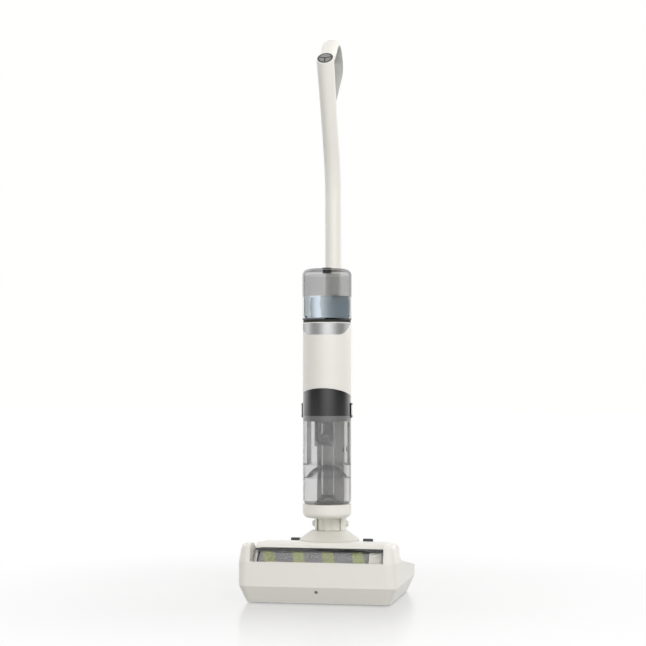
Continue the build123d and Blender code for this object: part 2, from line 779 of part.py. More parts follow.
with BuildPart() as impeller:
    with BuildSketch(body_plane.offset(impeller_bottom + 14)):
        Circle(impeller_radius)
    extrude(amount=3)
    with BuildSketch(body_plane.offset(impeller_bottom)):
        with PolarLocations(0, blade_count):
            with BuildLine():
                ThreePointArc((9, 0), (22, 8), (35, 5))
                Line((35, 5), (34.8, 7))
                ThreePointArc((34.8, 7), (21.5, 10), (8, 2))
                Line((8, 2), (9, 0))
            make_face()
    extrude(amount=14)
    with BuildSketch(body_plane.offset(impeller_bottom)):
        Circle(10)
    extrude(amount=14)
    with BuildSketch(body_plane.offset(impeller_bottom + 17)):
        Circle(shaft_radius)
    extrude(amount=30)
impeller.part.label = "impeller"
export_step(impeller.part, "parts/impeller.step")

# Clean-water tank with its gasket, outlet valve and filler plug
clean_wall = 2.5
plug_radius = 8.2
valve_radius = 3
valve_y = body_y - 4
clean_radius = body_radius + 0.8
with BuildPart() as clean_tank_shell:
    with BuildSketch(body_plane.offset(clean_bottom)):
        Circle(clean_radius)
    extrude(amount=clean_top - clean_bottom)
    fillet(clean_tank_shell.faces().sort_by(Axis.Z)[-1].edges(), radius=12)
    with BuildPart(mode=Mode.SUBTRACT):
        with BuildSketch(body_plane.offset(clean_bottom + clean_wall)):
            Circle(clean_radius - clean_wall)
        clean_inside = extrude(amount=clean_top - clean_bottom - 2 * clean_wall)
        fillet(clean_inside.faces().sort_by(Axis.Z)[-1].edges(), radius=9.5)
    with BuildSketch(body_plane.offset(clean_top)):
        Circle(plug_radius + 0.2)
    extrude(amount=-10, mode=Mode.SUBTRACT)
    with BuildSketch(body_plane.offset(clean_bottom)):
        with Locations((0, valve_y - body_y)):
            Circle(valve_radius + 0.1)
    extrude(amount=10, mode=Mode.SUBTRACT)
clean_tank_shell.part.label = "clean_tank_shell"
export_step(clean_tank_shell.part, "parts/clean_tank_shell.step")

with BuildPart() as clean_tank_gasket:
    with BuildSketch(body_plane.offset(seat_top + 0.1)):
        Circle(body_radius - 2)
        Circle(body_radius - 7, mode=Mode.SUBTRACT)
    extrude(amount=clean_bottom - seat_top - 0.1)
clean_tank_gasket.part.label = "clean_tank_gasket"
export_step(clean_tank_gasket.part, "parts/clean_tank_gasket.step")

with BuildPart() as filler_plug:
    with BuildSketch(body_plane.offset(clean_top - 8)):
        Circle(plug_radius)
    extrude(amount=8)
    with BuildSketch(body_plane.offset(clean_top + 0.2)):
        Circle(plug_radius + 3)
    extrude(amount=2.6)
    with BuildSketch(body_plane.offset(clean_top)):
        Circle(plug_radius)
    extrude(amount=0.2)
    fillet(filler_plug.faces().sort_by(Axis.Z)[-1].edges(), radius=1.2)
filler_plug.part.label = "filler_plug"
export_step(filler_plug.part, "parts/filler_plug.step")

with BuildPart() as outlet_valve:
    with BuildSketch(body_plane.offset(clean_bottom)):
        with Locations((0, valve_y - body_y)):
            Circle(valve_radius)
    extrude(amount=clean_wall + 0.3)
    with BuildSketch(body_plane.offset(clean_bottom + clean_wall + 0.3)):
        with Locations((0, valve_y - body_y)):
            Circle(7)
    extrude(amount=4)
    fillet(outlet_valve.faces().sort_by(Axis.Z)[-1].edges(), radius=1.5)
outlet_valve.part.label = "outlet_valve"
export_step(outlet_valve.part, "parts/outlet_valve.step")

# Dirty-water tank: smoky cup, collar with clip lugs, arched lid and the parts inside
dirty_radius = body_radius - 0.4
dirty_wall = 2.2
tank_round = 8
pipe_outer = 13
pipe_bore = 10.8
with BuildPart() as dirty_tank_shell:
    with BuildSketch(body_plane.offset(tank_bottom)):
        Circle(dirty_radius)
    extrude(amount=tank_top - tank_bottom)
    fillet(dirty_tank_shell.faces().sort_by(Axis.Z)[0].edges(), radius=tank_round)
    with BuildPart(mode=Mode.SUBTRACT):
        with BuildSketch(body_plane.offset(tank_bottom + dirty_wall)):
            Circle(dirty_radius - dirty_wall)
        tank_inside = extrude(amount=tank_top)
        fillet(tank_inside.faces().sort_by(Axis.Z)[0].edges(), radius=tank_round - dirty_wall)
    with BuildSketch(body_plane.offset(tank_bottom)):
        with Locations((0, pipe_y - body_y)):
            Circle(pipe_bore)
    extrude(amount=10, mode=Mode.SUBTRACT)
dirty_tank_shell.part.label = "dirty_tank_shell"
export_step(dirty_tank_shell.part, "parts/dirty_tank_shell.step")

clip_pin_x = 47.6
clip_pin_z = 350
clip_pin_radius = 1.2
clip_barrel = 2
clip_half = 4.5
clip_hook_z = 375
with BuildPart() as tank_collar:
    with BuildSketch(body_plane.offset(tank_top)):
        Circle(body_radius - 0.1)
        Circle(body_radius - 4, mode=Mode.SUBTRACT)
    extrude(amount=lid_bottom - tank_top)
    with Locations((clip_pin_x, body_y, lid_bottom), (-clip_pin_x, body_y, lid_bottom)):
        Box(2 * clip_barrel + 1, 2 * clip_half + 0.6, 10, mode=Mode.SUBTRACT)
    with BuildSketch(Plane.XZ.offset(-body_y)):
        with Locations((clip_pin_x, clip_pin_z), (-clip_pin_x, clip_pin_z)):
            Circle(clip_pin_radius)
    extrude(amount=clip_half + 2, both=True)
tank_collar.part.label = "tank_collar"
export_step(tank_collar.part, "parts/tank_collar.step")

filter_room = 20
with BuildPart() as tank_lid:
    with BuildSketch(body_plane.offset(lid_bottom)):
        Circle(body_radius)
    extrude(amount=seam_peak - lid_bottom)
    split(bisect_by=seam_plane, keep=Keep.BOTTOM)
    with BuildSketch(body_plane.offset(lid_bottom)):
        Circle(38)
    extrude(amount=filter_room, mode=Mode.SUBTRACT)
    with BuildSketch(body_plane.offset(lid_bottom)):
        with PolarLocations(22, 6):
            Circle(7)
    extrude(amount=60, mode=Mode.SUBTRACT)
    with Locations((clip_pin_x + 1, body_y, lid_bottom), (-clip_pin_x - 1, body_y, lid_bottom)):
        Box(
            2 * clip_barrel + 3, 2 * clip_half + 0.6, clip_hook_z + 2 - lid_bottom,
            align=(Align.CENTER, Align.CENTER, Align.MIN), mode=Mode.SUBTRACT,
        )
tank_lid.part.label = "tank_lid"
export_step(tank_lid.part, "parts/tank_lid.step")

with BuildPart() as lid_filter:
    with BuildSketch(body_plane.offset(lid_bottom + 2)):
        Circle(35)
    extrude(amount=filter_room - 3)
    with BuildSketch(body_plane.offset(lid_bottom + 2)):
        with PolarLocations(29, 18):
            Rectangle(9, 3)
    extrude(amount=filter_room - 7, mode=Mode.SUBTRACT)
lid_filter.part.label = "lid_filter"
export_step(lid_filter.part, "parts/lid_filter.step")

flare_radius = 24
flare_height = 27
with BuildPart() as standpipe:
    with BuildSketch(Plane(origin=(0, pipe_y, 0), x_dir=(1, 0, 0), z_dir=(0, -1, 0))):
        with BuildLine():
            floor = tank_bottom + dirty_wall
            Polyline((pipe_bore, floor), (flare_radius, floor), (flare_radius, floor + 1.5))
            ThreePointArc(
                (flare_radius, floor + 1.5), (pipe_outer + 3.2, floor + 10), (pipe_outer, floor + flare_height)
            )
            Polyline(
                (pipe_outer, floor + flare_height), (pipe_outer, 336), (pipe_bore, 336), (pipe_bore, floor)
            )
        make_face()
    revolve(axis=Axis((0, pipe_y, 0), (0, 0, 1)))
standpipe.part.label = "standpipe"
export_step(standpipe.part, "parts/standpipe.step")

cup_y = -43
cup_bottom = 294
cup_bore = 16
with BuildPart() as filter_cup:
    with BuildSketch(Plane.XY.offset(cup_bottom)):
        with Locations((0, cup_y)):
            RectangleRounded(36, 29, 5)
    extrude(amount=lid_bottom - cup_bottom)
    with BuildSketch(Plane.XZ.offset(-cup_y)):
        with Locations((0, cup_bottom + 2 + cup_bore)):
            Circle(cup_bore)
        with Locations((0, cup_bottom + 2 + cup_bore)):
            Rectangle(2 * cup_bore, 80, align=(Align.CENTER, Align.MIN))
    extrude(amount=12.5, both=True, mode=Mode.SUBTRACT)
    with BuildSketch(Plane.XY.offset(cup_bottom)):
        with Locations((0, cup_y)):
            with GridLocations(9, 0, 3, 1):
                SlotOverall(16, 4, rotation=90)
    extrude(amount=4, mode=Mode.SUBTRACT)
filter_cup.part.label = "filter_cup"
export_step(filter_cup.part, "parts/filter_cup.step")

with BuildPart() as float_ball:
    with BuildSketch(Plane.XY.offset(cup_bottom + 3.2)):
        with Locations((0, cup_y)):
            Circle(10)
    extrude(amount=20)
    fillet(float_ball.edges().filter_by(GeomType.CIRCLE), radius=6)
float_ball.part.label = "float_ball"
export_step(float_ball.part, "parts/float_ball.step")

inside_radius = dirty_radius - dirty_wall
with BuildPart() as separator_ring:
    with BuildSketch(body_plane.offset(257)):
        Circle(inside_radius)
        Circle(inside_radius - 6, mode=Mode.SUBTRACT)
    extrude(amount=3)
separator_ring.part.label = "separator_ring"
export_step(separator_ring.part, "parts/separator_ring.step")

strainer_edge = 232
strainer_peak = 256
with BuildPart() as strainer_dome:
    with BuildSketch(Plane(origin=(0, body_y, 0), x_dir=(1, 0, 0), z_dir=(0, -1, 0))):
        with BuildLine():
            Polyline((0, strainer_peak), (0, strainer_peak - 2))
            ThreePointArc((0, strainer_peak - 2), (22, strainer_peak - 7), (37, strainer_edge + 2))
            Polyline((37, strainer_edge + 2), (37, strainer_edge), (inside_radius, strainer_edge))
            Polyline((inside_radius, strainer_edge), (inside_radius, strainer_edge + 2))
            Line((inside_radius, strainer_edge + 2), (39, strainer_edge + 2))
            ThreePointArc((39, strainer_edge + 2), (23, strainer_peak - 5), (0, strainer_peak))
        make_face()
    revolve(axis=Axis((0, body_y, 0), (0, 0, 1)))
    with BuildSketch(Plane.XY.offset(strainer_edge - 5)):
        with Locations((0, pipe_y)):
            Circle(pipe_outer)
    extrude(amount=40, mode=Mode.SUBTRACT)
    with BuildSketch(body_plane.offset(strainer_edge + 3)):
        with PolarLocations(30, 16):
            Circle(3)
    extrude(amount=40, mode=Mode.SUBTRACT)
strainer_dome.part.label = "strainer_dome"
export_step(strainer_dome.part, "parts/strainer_dome.step")

# Side clips that hold the lid down, each on its own pin
for side, name in ((-1, "lid_clip_left"), (1, "lid_clip_right")):
    with BuildPart() as lid_clip:
        with BuildSketch(Plane.XZ.offset(-body_y)):
            with Locations((side * clip_pin_x, clip_pin_z)):
                Circle(clip_barrel)
            with Locations((side * (clip_pin_x + 1.2), (clip_pin_z + clip_hook_z) / 2)):
                Rectangle(1.6, clip_hook_z - clip_pin_z + 2)
            with Locations((side * clip_pin_x, clip_hook_z)):
                Rectangle(4, 2)
            with Locations((side * clip_pin_x, clip_pin_z)):
                Circle(clip_pin_radius + fit, mode=Mode.SUBTRACT)
        extrude(amount=clip_half, both=True)
    lid_clip.part.label = name
    export_step(lid_clip.part, f"parts/{name}.step")

# Handle tube, upright at first and then leaning forward
with BuildPart() as handle_tube:
    with BuildLine(Plane.YZ):
        FilletPolyline(
            (tube_y, tube_bottom), (tube_y, tube_corner_z), (stem_y(stem_bottom_z), stem_bottom_z),
            radius=tube_bend,
        )
    with BuildSketch(Plane.XY.offset(tube_bottom)):
        with Locations((0, tube_y)):
            Circle(tube_radius)
            Circle(tube_radius - tube_wall, mode=Mode.SUBTRACT)
    sweep()
handle_tube.part.label = "handle_tube"
export_step(handle_tube.part, "parts/handle_tube.step")

# Grip: the stem that carries on from the tube, and the closed loop behind it
loop_start = (stem_y(panel_z) + 13.5, panel_z - 3)
loop_top = (34, 1094.5)
loop_back = (76, 1044)
loop_end = (stem_y(970) + 7, 970)
loop_width = 32.4
loop_half = 11
loop_round = 27
start_direction = Vector(0, loop_top[0] - loop_start[0], loop_top[1] - loop_start[1])


loop_plane = Plane(origin=(0, *loop_start), x_dir=(1, 0, 0), z_dir=start_direction)
stem_plane = Plane(
    origin=(0, stem_y(stem_bottom_z), stem_bottom_z), x_dir=(1, 0, 0), z_dir=lean_direction
)
stem_taper = 0.6
with BuildPart() as grip_stem:
    with BuildSketch(stem_plane):
        Circle(tube_radius)
    extrude(amount=150, taper=-stem_taper)
    split(bisect_by=panel_plane, keep=Keep.BOTTOM)

bezel_x = 15.3
bezel_y = 16.8
bezel_depth = 5.5


def loop_section(inner_side):
    shift = loop_half if inner_side else -loop_half
    with BuildSketch() as section:
        Ellipse(loop_width / 2, loop_half)
        with Locations((0, shift)):
            Rectangle(loop_width, 2 * loop_half, mode=Mode.INTERSECT)
    return section.sketch


with BuildPart() as grip_body:
    with BuildLine(Plane.YZ):
        FilletPolyline(loop_start, loop_top, loop_back, loop_end, radius=loop_round)
    with BuildSketch(loop_plane):
        add(loop_section(inner_side=False))
    sweep()
    add(grip_stem.part)
    with BuildSketch(panel_plane):
        Ellipse(bezel_x, bezel_y)
    extrude(amount=bezel_depth, both=True, mode=Mode.SUBTRACT)
grip_body.part.label = "grip_body"
export_step(grip_body.part, "parts/grip_body.step")

with BuildPart() as grip_liner:
    with BuildLine(Plane.YZ):
        FilletPolyline(loop_start, loop_top, loop_back, loop_end, radius=loop_round)
    with BuildSketch(loop_plane):
        add(loop_section(inner_side=True))
    sweep()
    add(grip_stem.part, mode=Mode.SUBTRACT)
grip_liner.part.label = "grip_liner"
export_step(grip_liner.part, "parts/grip_liner.step")

# Button panel: a dark oval plate with one upper and two lower buttons
split_y = 26.4
split_radius = 26


def button_face(name, grow):
    with BuildSketch() as face:
        Ellipse(bezel_x - 1.6 + grow, bezel_y - 1.6 + grow)
        if name == "power_button":
            with Locations((0, split_y)):
                Circle(split_radius - 0.6 + grow, mode=Mode.INTERSECT)
        else:
            with Locations((0, split_y)):
                Circle(split_radius + 0.6 - grow, mode=Mode.SUBTRACT)
            side = -1 if name == "mode_button" else 1
            with Locations((side * (bezel_x + 0.6 - grow), 0)):
                Rectangle(2 * bezel_x, 4 * bezel_y, mode=Mode.INTERSECT)
    return face.sketch


button_names = ("power_button", "mode_button", "clean_button")
with BuildPart() as button_bezel:
    with BuildSketch(panel_plane.offset(-bezel_depth)):
        Ellipse(bezel_x, bezel_y)
    extrude(amount=bezel_depth - 0.2)
    for name in button_names:
        with BuildSketch(panel_plane.offset(-0.2)):
            add(button_face(name, 0.35))
        extrude(amount=-4.2, mode=Mode.SUBTRACT)
button_bezel.part.label = "button_bezel"
export_step(button_bezel.part, "parts/button_bezel.step")

for name in button_names:
    with BuildPart() as handle_button:
        with BuildSketch(panel_plane.offset(-2.8)):
            add(button_face(name, 0))
        extrude(amount=3.1)
    handle_button.part.label = name
    export_step(handle_button.part, f"parts/{name}.step")
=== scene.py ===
import math

import bmesh
import bpy
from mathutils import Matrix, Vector


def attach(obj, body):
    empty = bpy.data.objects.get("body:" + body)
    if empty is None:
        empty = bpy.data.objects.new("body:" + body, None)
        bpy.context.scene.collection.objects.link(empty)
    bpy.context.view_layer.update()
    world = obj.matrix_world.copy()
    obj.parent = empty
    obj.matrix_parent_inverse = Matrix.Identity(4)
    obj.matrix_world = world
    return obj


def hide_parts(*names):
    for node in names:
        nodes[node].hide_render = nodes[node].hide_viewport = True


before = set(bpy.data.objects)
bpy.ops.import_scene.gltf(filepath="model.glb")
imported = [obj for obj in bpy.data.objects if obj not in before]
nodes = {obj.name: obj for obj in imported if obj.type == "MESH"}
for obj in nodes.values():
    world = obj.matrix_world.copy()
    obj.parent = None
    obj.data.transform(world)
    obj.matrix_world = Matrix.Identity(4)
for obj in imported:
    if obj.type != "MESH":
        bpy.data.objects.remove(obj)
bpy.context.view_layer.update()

# Camera, where the photograph was taken from
cameraView = {
    "azimuth": 11.0,  # degrees to the right of straight ahead
    "place": (0.622, -3.261, 0.42),
    "rise": 0.0338,  # the line of sight climbs a little
    "focalPixels": 1700,  # focal length in pixels of the image
    "imageWidth": 646,
    "sensor": 36,
    "clip": (0.1, 60),
}


def makeCamera(view):
    camera = bpy.data.objects.new("photoCamera", bpy.data.cameras.new("photoCamera"))
    bpy.context.scene.collection.objects.link(camera)
    turn = math.radians(view["azimuth"])
    sight = Vector((-math.sin(turn), math.cos(turn), view["rise"]))
    camera.location = view["place"]
    camera.rotation_mode = "QUATERNION"
    camera.rotation_quaternion = sight.to_track_quat("-Z", "Y")
    camera.data.sensor_width = view["sensor"]
    camera.data.lens = view["sensor"] * view["focalPixels"] / view["imageWidth"]
    camera.data.clip_start, camera.data.clip_end = view["clip"]
    bpy.context.scene.camera = camera


makeCamera(cameraView)
bpy.context.scene.view_settings.view_transform = "Standard"

# Small helpers for nodes


def feed(tree, value, socket):
    # a wire from another socket, or a plain value
    if isinstance(value, bpy.types.NodeSocket):
        tree.links.new(value, socket)
    else:
        socket.default_value = value


def reckon(tree, operation, first, second=0.0, clamp=False):
    node = tree.nodes.new("ShaderNodeMath")
    node.operation = operation
    node.use_clamp = clamp
    feed(tree, first, node.inputs[0])
    feed(tree, second, node.inputs[1])
    return node.outputs[0]


def mixValue(tree, share, low, high):
    node = tree.nodes.new("ShaderNodeMix")
    for index, value in ((0, share), (2, low), (3, high)):
        feed(tree, value, node.inputs[index])
    return node.outputs[0]


def mixColor(tree, share, low, high):
    node = tree.nodes.new("ShaderNodeMix")
    node.data_type = "RGBA"
    feed(tree, share, node.inputs[0])
    for index, color in ((6, low), (7, high)):
        feed(tree, (*color, 1) if isinstance(color, tuple) else color, node.inputs[index])
    return node.outputs[2]


def tintBy(tree, color, amount):
    # multiplies a colour by a grey value
    node = tree.nodes.new("ShaderNodeVectorMath")
    node.operation = "SCALE"
    feed(tree, color, node.inputs[0])
    feed(tree, amount, node.inputs["Scale"])
    return node.outputs[0]


def easeBetween(tree, value, limits, ends=(0.0, 1.0)):
    # a smooth step from the first end to the second
    step = tree.nodes.new("ShaderNodeMapRange")
    step.interpolation_type = "SMOOTHSTEP"
    for name, number in zip(("From Min", "From Max", "To Min", "To Max"), (*limits, *ends)):
        step.inputs[name].default_value = number
    feed(tree, value, step.inputs["Value"])
    return step.outputs["Result"]


def within(tree, value, limits):
    # 1 below the first limit, 0 above the second
    return easeBetween(tree, value, limits, (1.0, 0.0))


def flatLength(tree, first, second):
    # length of a flat vector
    squares = [reckon(tree, "POWER", part, 2.0) for part in (first, second)]
    return reckon(tree, "SQRT", reckon(tree, "ADD", *squares))


def placeOf(tree, kind="Object"):
    return tree.nodes.new("ShaderNodeTexCoord").outputs[kind]


def partsOf(tree, vector):
    parts = tree.nodes.new("ShaderNodeSeparateXYZ")
    feed(tree, vector, parts.inputs[0])
    return parts.outputs


def noiseAt(tree, vector, scale, detail=2.0):
    noise = tree.nodes.new("ShaderNodeTexNoise")
    for name, value in (("Vector", vector), ("Scale", scale), ("Detail", detail)):
        feed(tree, value, noise.inputs[name])
    return noise.outputs["Fac"]


# Studio: white to the camera, a broad soft box in front, darker gaps beside it, bright sides behind
studio = {
    "facing": 15.0,  # degrees, where the middle of the soft box stands
    # degrees from straight behind, and brightness
    "around": [(0.0, 1.0), (30.0, 1.4), (62.0, 2.4), (84.0, 0.7), (100.0, 0.03), (134.0, 0.03),
               (152.0, 0.8), (180.0, 2.4), (208.0, 0.8), (226.0, 0.03), (260.0, 0.03), (276.0, 0.7),
               (298.0, 2.4), (330.0, 1.4), (360.0, 1.0)],
    # the same for what clear plastic lets through
    "through": [(0.0, 1.0), (18.0, 1.0), (26.0, 0.4), (32.0, 0.4), (42.0, 1.1), (54.0, 1.1),
                (66.0, 0.1), (150.0, 0.1), (180.0, 0.5), (210.0, 0.1), (294.0, 0.1), (306.0, 1.1),
                (318.0, 1.1), (328.0, 0.4), (334.0, 0.4), (342.0, 1.0), (360.0, 1.0)],
    "brightest": 3.0,  # brightness that is white in the two rings' ramps
    "tint": (1, 0.998, 0.992),
    "evenLight": 0.62,  # what the matt surfaces get from all round
    "shapedLight": 1.18,  # what they get from the pattern above
    "skyFade": 0.85,  # how much dimmer it is overhead
    "floorHalf": 20,
    "floorColor": 0.15,  # for the light that it throws back
    "floorSeen": 0.94,  # for the eye
    "floorRough": 0.2,
    "dockReach": (0.13, 0.12),  # half the dock's footprint
    "floorShade": (0.0, 0.80),  # metres from the dock, where the floor's sheen starts to fade and ends
    "floorDepth": 0.36,  # how much of the shadow shows beside the dock
    "floorGloss": 0.45,
    "lamps": {
        "keyLamp": {"place": (0.9, -1.4, 1.2), "size": (0.9, 0.9), "power": 13, "aim": (0, 0, 0.9)},
        "topLamp": {"place": (-1.1, 1.3, 2.6), "size": (1.6, 1.6), "power": 0.5, "aim": (0, 0, 0.2)},
    },
}


def lightPath(tree, *names):
    # 1 for the kinds of ray that are named
    path = tree.nodes.new("ShaderNodeLightPath")
    total = path.outputs[names[0]]
    for name in names[1:]:
        total = reckon(tree, "ADD", total, path.outputs[name], True)
    return total


def ringLight(tree, share, stops, brightest):
    # brightness by the angle round the object
    node = tree.nodes.new("ShaderNodeValToRGB")
    ramp = node.color_ramp
    ramp.interpolation = "B_SPLINE"
    while len(ramp.elements) < len(stops):
        ramp.elements.new(0.5)
    for element, (angle, level) in zip(ramp.elements, stops):
        grey = level / brightest
        element.position = angle / 360
        element.color = (grey, grey, grey, 1)
    feed(tree, share, node.inputs["Fac"])
    return reckon(tree, "MULTIPLY", node.outputs["Color"], brightest)


def makeWorld(studio):
    world = bpy.data.worlds.new("studioWorld")
    world.use_nodes = True
    bpy.context.scene.world = world
    tree = world.node_tree
    tree.nodes.clear()
    place = partsOf(tree, placeOf(tree, "Generated"))
    turn = reckon(tree, "ARCTAN2", place["X"], place["Y"])
    turned = reckon(tree, "ADD", turn, math.radians(studio["facing"]))
    share = reckon(tree, "FRACT", reckon(tree, "DIVIDE", turned, 2 * math.pi))
    around = ringLight(tree, share, studio["around"], studio["brightest"])
    through = ringLight(tree, share, studio["through"], studio["brightest"])
    height = reckon(tree, "MAXIMUM", place["Z"], 0.0)
    dimmed = reckon(tree, "SUBTRACT", 1.0, reckon(tree, "MULTIPLY", height, studio["skyFade"]))
    shaped = reckon(tree, "MULTIPLY", around, studio["shapedLight"])
    soft = reckon(tree, "MULTIPLY", reckon(tree, "ADD", shaped, studio["evenLight"]), dimmed)
    # mirrors and clear plastic see the pattern, the camera sees plain white
    level = mixValue(tree, lightPath(tree, "Is Glossy Ray"), soft, around)
    direct = reckon(tree, "SUBTRACT", 1.0, lightPath(tree, "Diffuse Depth"), True)  # not yet off a matt surface
    straight = reckon(tree, "MULTIPLY", lightPath(tree, "Is Transmission Ray"), direct)
    level = mixValue(tree, straight, level, through)
    level = mixValue(tree, lightPath(tree, "Is Camera Ray"), level, 1.0)
    background = tree.nodes.new("ShaderNodeBackground")
    background.inputs["Color"].default_value = (*studio["tint"], 1)
    out = tree.nodes.new("ShaderNodeOutputWorld")
    feed(tree, level, background.inputs["Strength"])
    feed(tree, background.outputs[0], out.inputs["Surface"])


def mixShaders(tree, share, first, second):
    node = tree.nodes.new("ShaderNodeMixShader")
    for socket, value in zip(node.inputs, (share, first.outputs[0], second.outputs[0])):
        feed(tree, value, socket)
    return node


def makeFloor(studio):
    half = studio["floorHalf"]
    corners = [(-half, -half, 0), (half, -half, 0), (half, half, 0), (-half, half, 0)]
    mesh = bpy.data.meshes.new("studioFloor")
    mesh.from_pydata(corners, [], [(0, 1, 2, 3)])
    floor = bpy.data.objects.new("studioFloor", mesh)
    bpy.context.scene.collection.objects.link(floor)
    material = bpy.data.materials.new("studioFloor")
    material.use_nodes = True
    tree = material.node_tree
    tree.nodes.clear()
    seen = lightPath(tree, "Is Camera Ray", "Is Glossy Ray", "Is Transmission Ray")
    matt = tree.nodes.new("ShaderNodeBsdfDiffuse")
    feed(tree, mixValue(tree, seen, studio["floorColor"], studio["floorSeen"]), matt.inputs["Color"])
    glow = tree.nodes.new("ShaderNodeEmission")
    glow.inputs["Color"].default_value = (1, 1, 1, 1)
    gloss = tree.nodes.new("ShaderNodeBsdfGlossy")
    gloss.inputs["Roughness"].default_value = studio["floorRough"]
    # how far a point lies outside the dock's footprint
    place = partsOf(tree, placeOf(tree))
    outside = []
    for axis, reach in zip("XY", studio["dockReach"]):
        past = reckon(tree, "SUBTRACT", reckon(tree, "ABSOLUTE", place[axis]), reach)
        outside.append(reckon(tree, "MAXIMUM", past, 0.0))
    near = within(tree, flatLength(tree, *outside), studio["floorShade"])
    plain = reckon(tree, "SUBTRACT", 1.0, reckon(tree, "MULTIPLY", near, studio["floorDepth"]))
    shaded = mixShaders(tree, reckon(tree, "MULTIPLY", seen, plain), matt, glow)
    polished = mixShaders(tree, reckon(tree, "MULTIPLY", near, studio["floorGloss"]), shaded, gloss)
    out = tree.nodes.new("ShaderNodeOutputMaterial")
    feed(tree, polished.outputs[0], out.inputs["Surface"])
    mesh.materials.append(material)


def makeLamps(lamps):
    for name, lamp in lamps.items():
        light = bpy.data.lights.new(name, "AREA")
        light.shape = "RECTANGLE"
        light.size, light.size_y = lamp["size"]
        light.energy = lamp["power"]
        holder = bpy.data.objects.new(name, light)
        bpy.context.scene.collection.objects.link(holder)
        holder.location = lamp["place"]
        toward = Vector(lamp["aim"]) - Vector(lamp["place"])
        holder.rotation_euler = toward.to_track_quat("-Z", "Y").to_euler()
        holder.visible_glossy = False  # the soft boxes of the world are what gloss shows


makeWorld(studio)
makeFloor(studio)
makeLamps(studio["lamps"])
print("studio: camera, floor and", len(studio["lamps"]), "lamps")

# Shader groups shared by the finishes


def newGroup(name, inputs, outputs):
    tree = bpy.data.node_groups.new(name, "ShaderNodeTree")
    for socketName, kind, value in inputs:
        socket = tree.interface.new_socket(socketName, in_out="INPUT", socket_type="NodeSocket" + kind)
        socket.default_value = value
    for socketName, kind in outputs:
        tree.interface.new_socket(socketName, in_out="OUTPUT", socket_type="NodeSocket" + kind)
    return tree, tree.nodes.new("NodeGroupInput").outputs, tree.nodes.new("NodeGroupOutput").inputs


def placeGroup(tree, group, **values):
    node = tree.nodes.new("ShaderNodeGroup")
    node.node_tree = group
    for name, value in values.items():
        node.inputs[name].default_value = value
    return node.outputs


# Fine moulding texture with a faint cloudiness in colour and gloss
mouldMarks = {"cloudScale": 9.0, "cloudShare": 0.7, "speckScale": 420.0, "speckShare": 0.3}


def buildMouldGrain(marks):
    tree, start, end = newGroup(
        "mouldGrain",
        [("Color", "Color", (0.8, 0.8, 0.8, 1)), ("Cloud", "Float", 0.04), ("Roughness", "Float", 0.4),
         ("Spread", "Float", 0.08), ("Grain", "Float", 2400.0)],
        [("Color", "Color"), ("Roughness", "Float"), ("Height", "Float")],
    )
    place = placeOf(tree)
    cloud = reckon(tree, "MULTIPLY", noiseAt(tree, place, marks["cloudScale"], 3.0), marks["cloudShare"])
    speck = reckon(tree, "MULTIPLY", noiseAt(tree, place, marks["speckScale"]), marks["speckShare"])
    uneven = reckon(tree, "SUBTRACT", reckon(tree, "ADD", cloud, speck), 0.5)
    shade = reckon(tree, "ADD", reckon(tree, "MULTIPLY", uneven, start["Cloud"]), 1.0)
    gloss = reckon(tree, "MULTIPLY", uneven, start["Spread"])
    feed(tree, tintBy(tree, start["Color"], shade), end["Color"])
    feed(tree, reckon(tree, "ADD", start["Roughness"], gloss, True), end["Roughness"])
    feed(tree, noiseAt(tree, place, start["Grain"], 1.0), end["Height"])
    return tree


mouldGrain = buildMouldGrain(mouldMarks)

# Hairline rubbing marks, stretched along the height of the piece
rubMarks = {"stretch": (1, 1, 0.06), "lean": (0.2, 0.15, 0.4), "hairScale": 900.0, "smearScale": 26.0}


def buildFineScratches(look):
    tree, start, end = newGroup(
        "fineScratches",
        [("Roughness", "Float", 0.1), ("Marks", "Float", 0.08)],
        [("Roughness", "Float"), ("Height", "Float")],
    )
    place = placeOf(tree)
    stretch = tree.nodes.new("ShaderNodeMapping")
    stretch.inputs["Scale"].default_value = look["stretch"]
    stretch.inputs["Rotation"].default_value = look["lean"]
    feed(tree, place, stretch.inputs["Vector"])
    hair = noiseAt(tree, stretch.outputs[0], look["hairScale"])
    marks = reckon(tree, "MULTIPLY", hair, noiseAt(tree, place, look["smearScale"], 3.0))
    rubbed = reckon(tree, "MULTIPLY", marks, start["Marks"])
    feed(tree, reckon(tree, "ADD", start["Roughness"], rubbed, True), end["Roughness"])
    feed(tree, marks, end["Height"])
    return tree


fineScratches = buildFineScratches(rubMarks)

# Finishes


def newMaterial(name):
    material = bpy.data.materials.new(name)
    material.use_nodes = True
    tree = material.node_tree
    return material, tree, tree.nodes["Principled BSDF"].inputs


def addBump(tree, shader, height, depth):
    bump = tree.nodes.new("ShaderNodeBump")
    bump.inputs["Distance"].default_value = depth
    bump.inputs["Strength"].default_value = 1.0
    feed(tree, height, bump.inputs["Height"])
    feed(tree, bump.outputs[0], shader["Normal"])


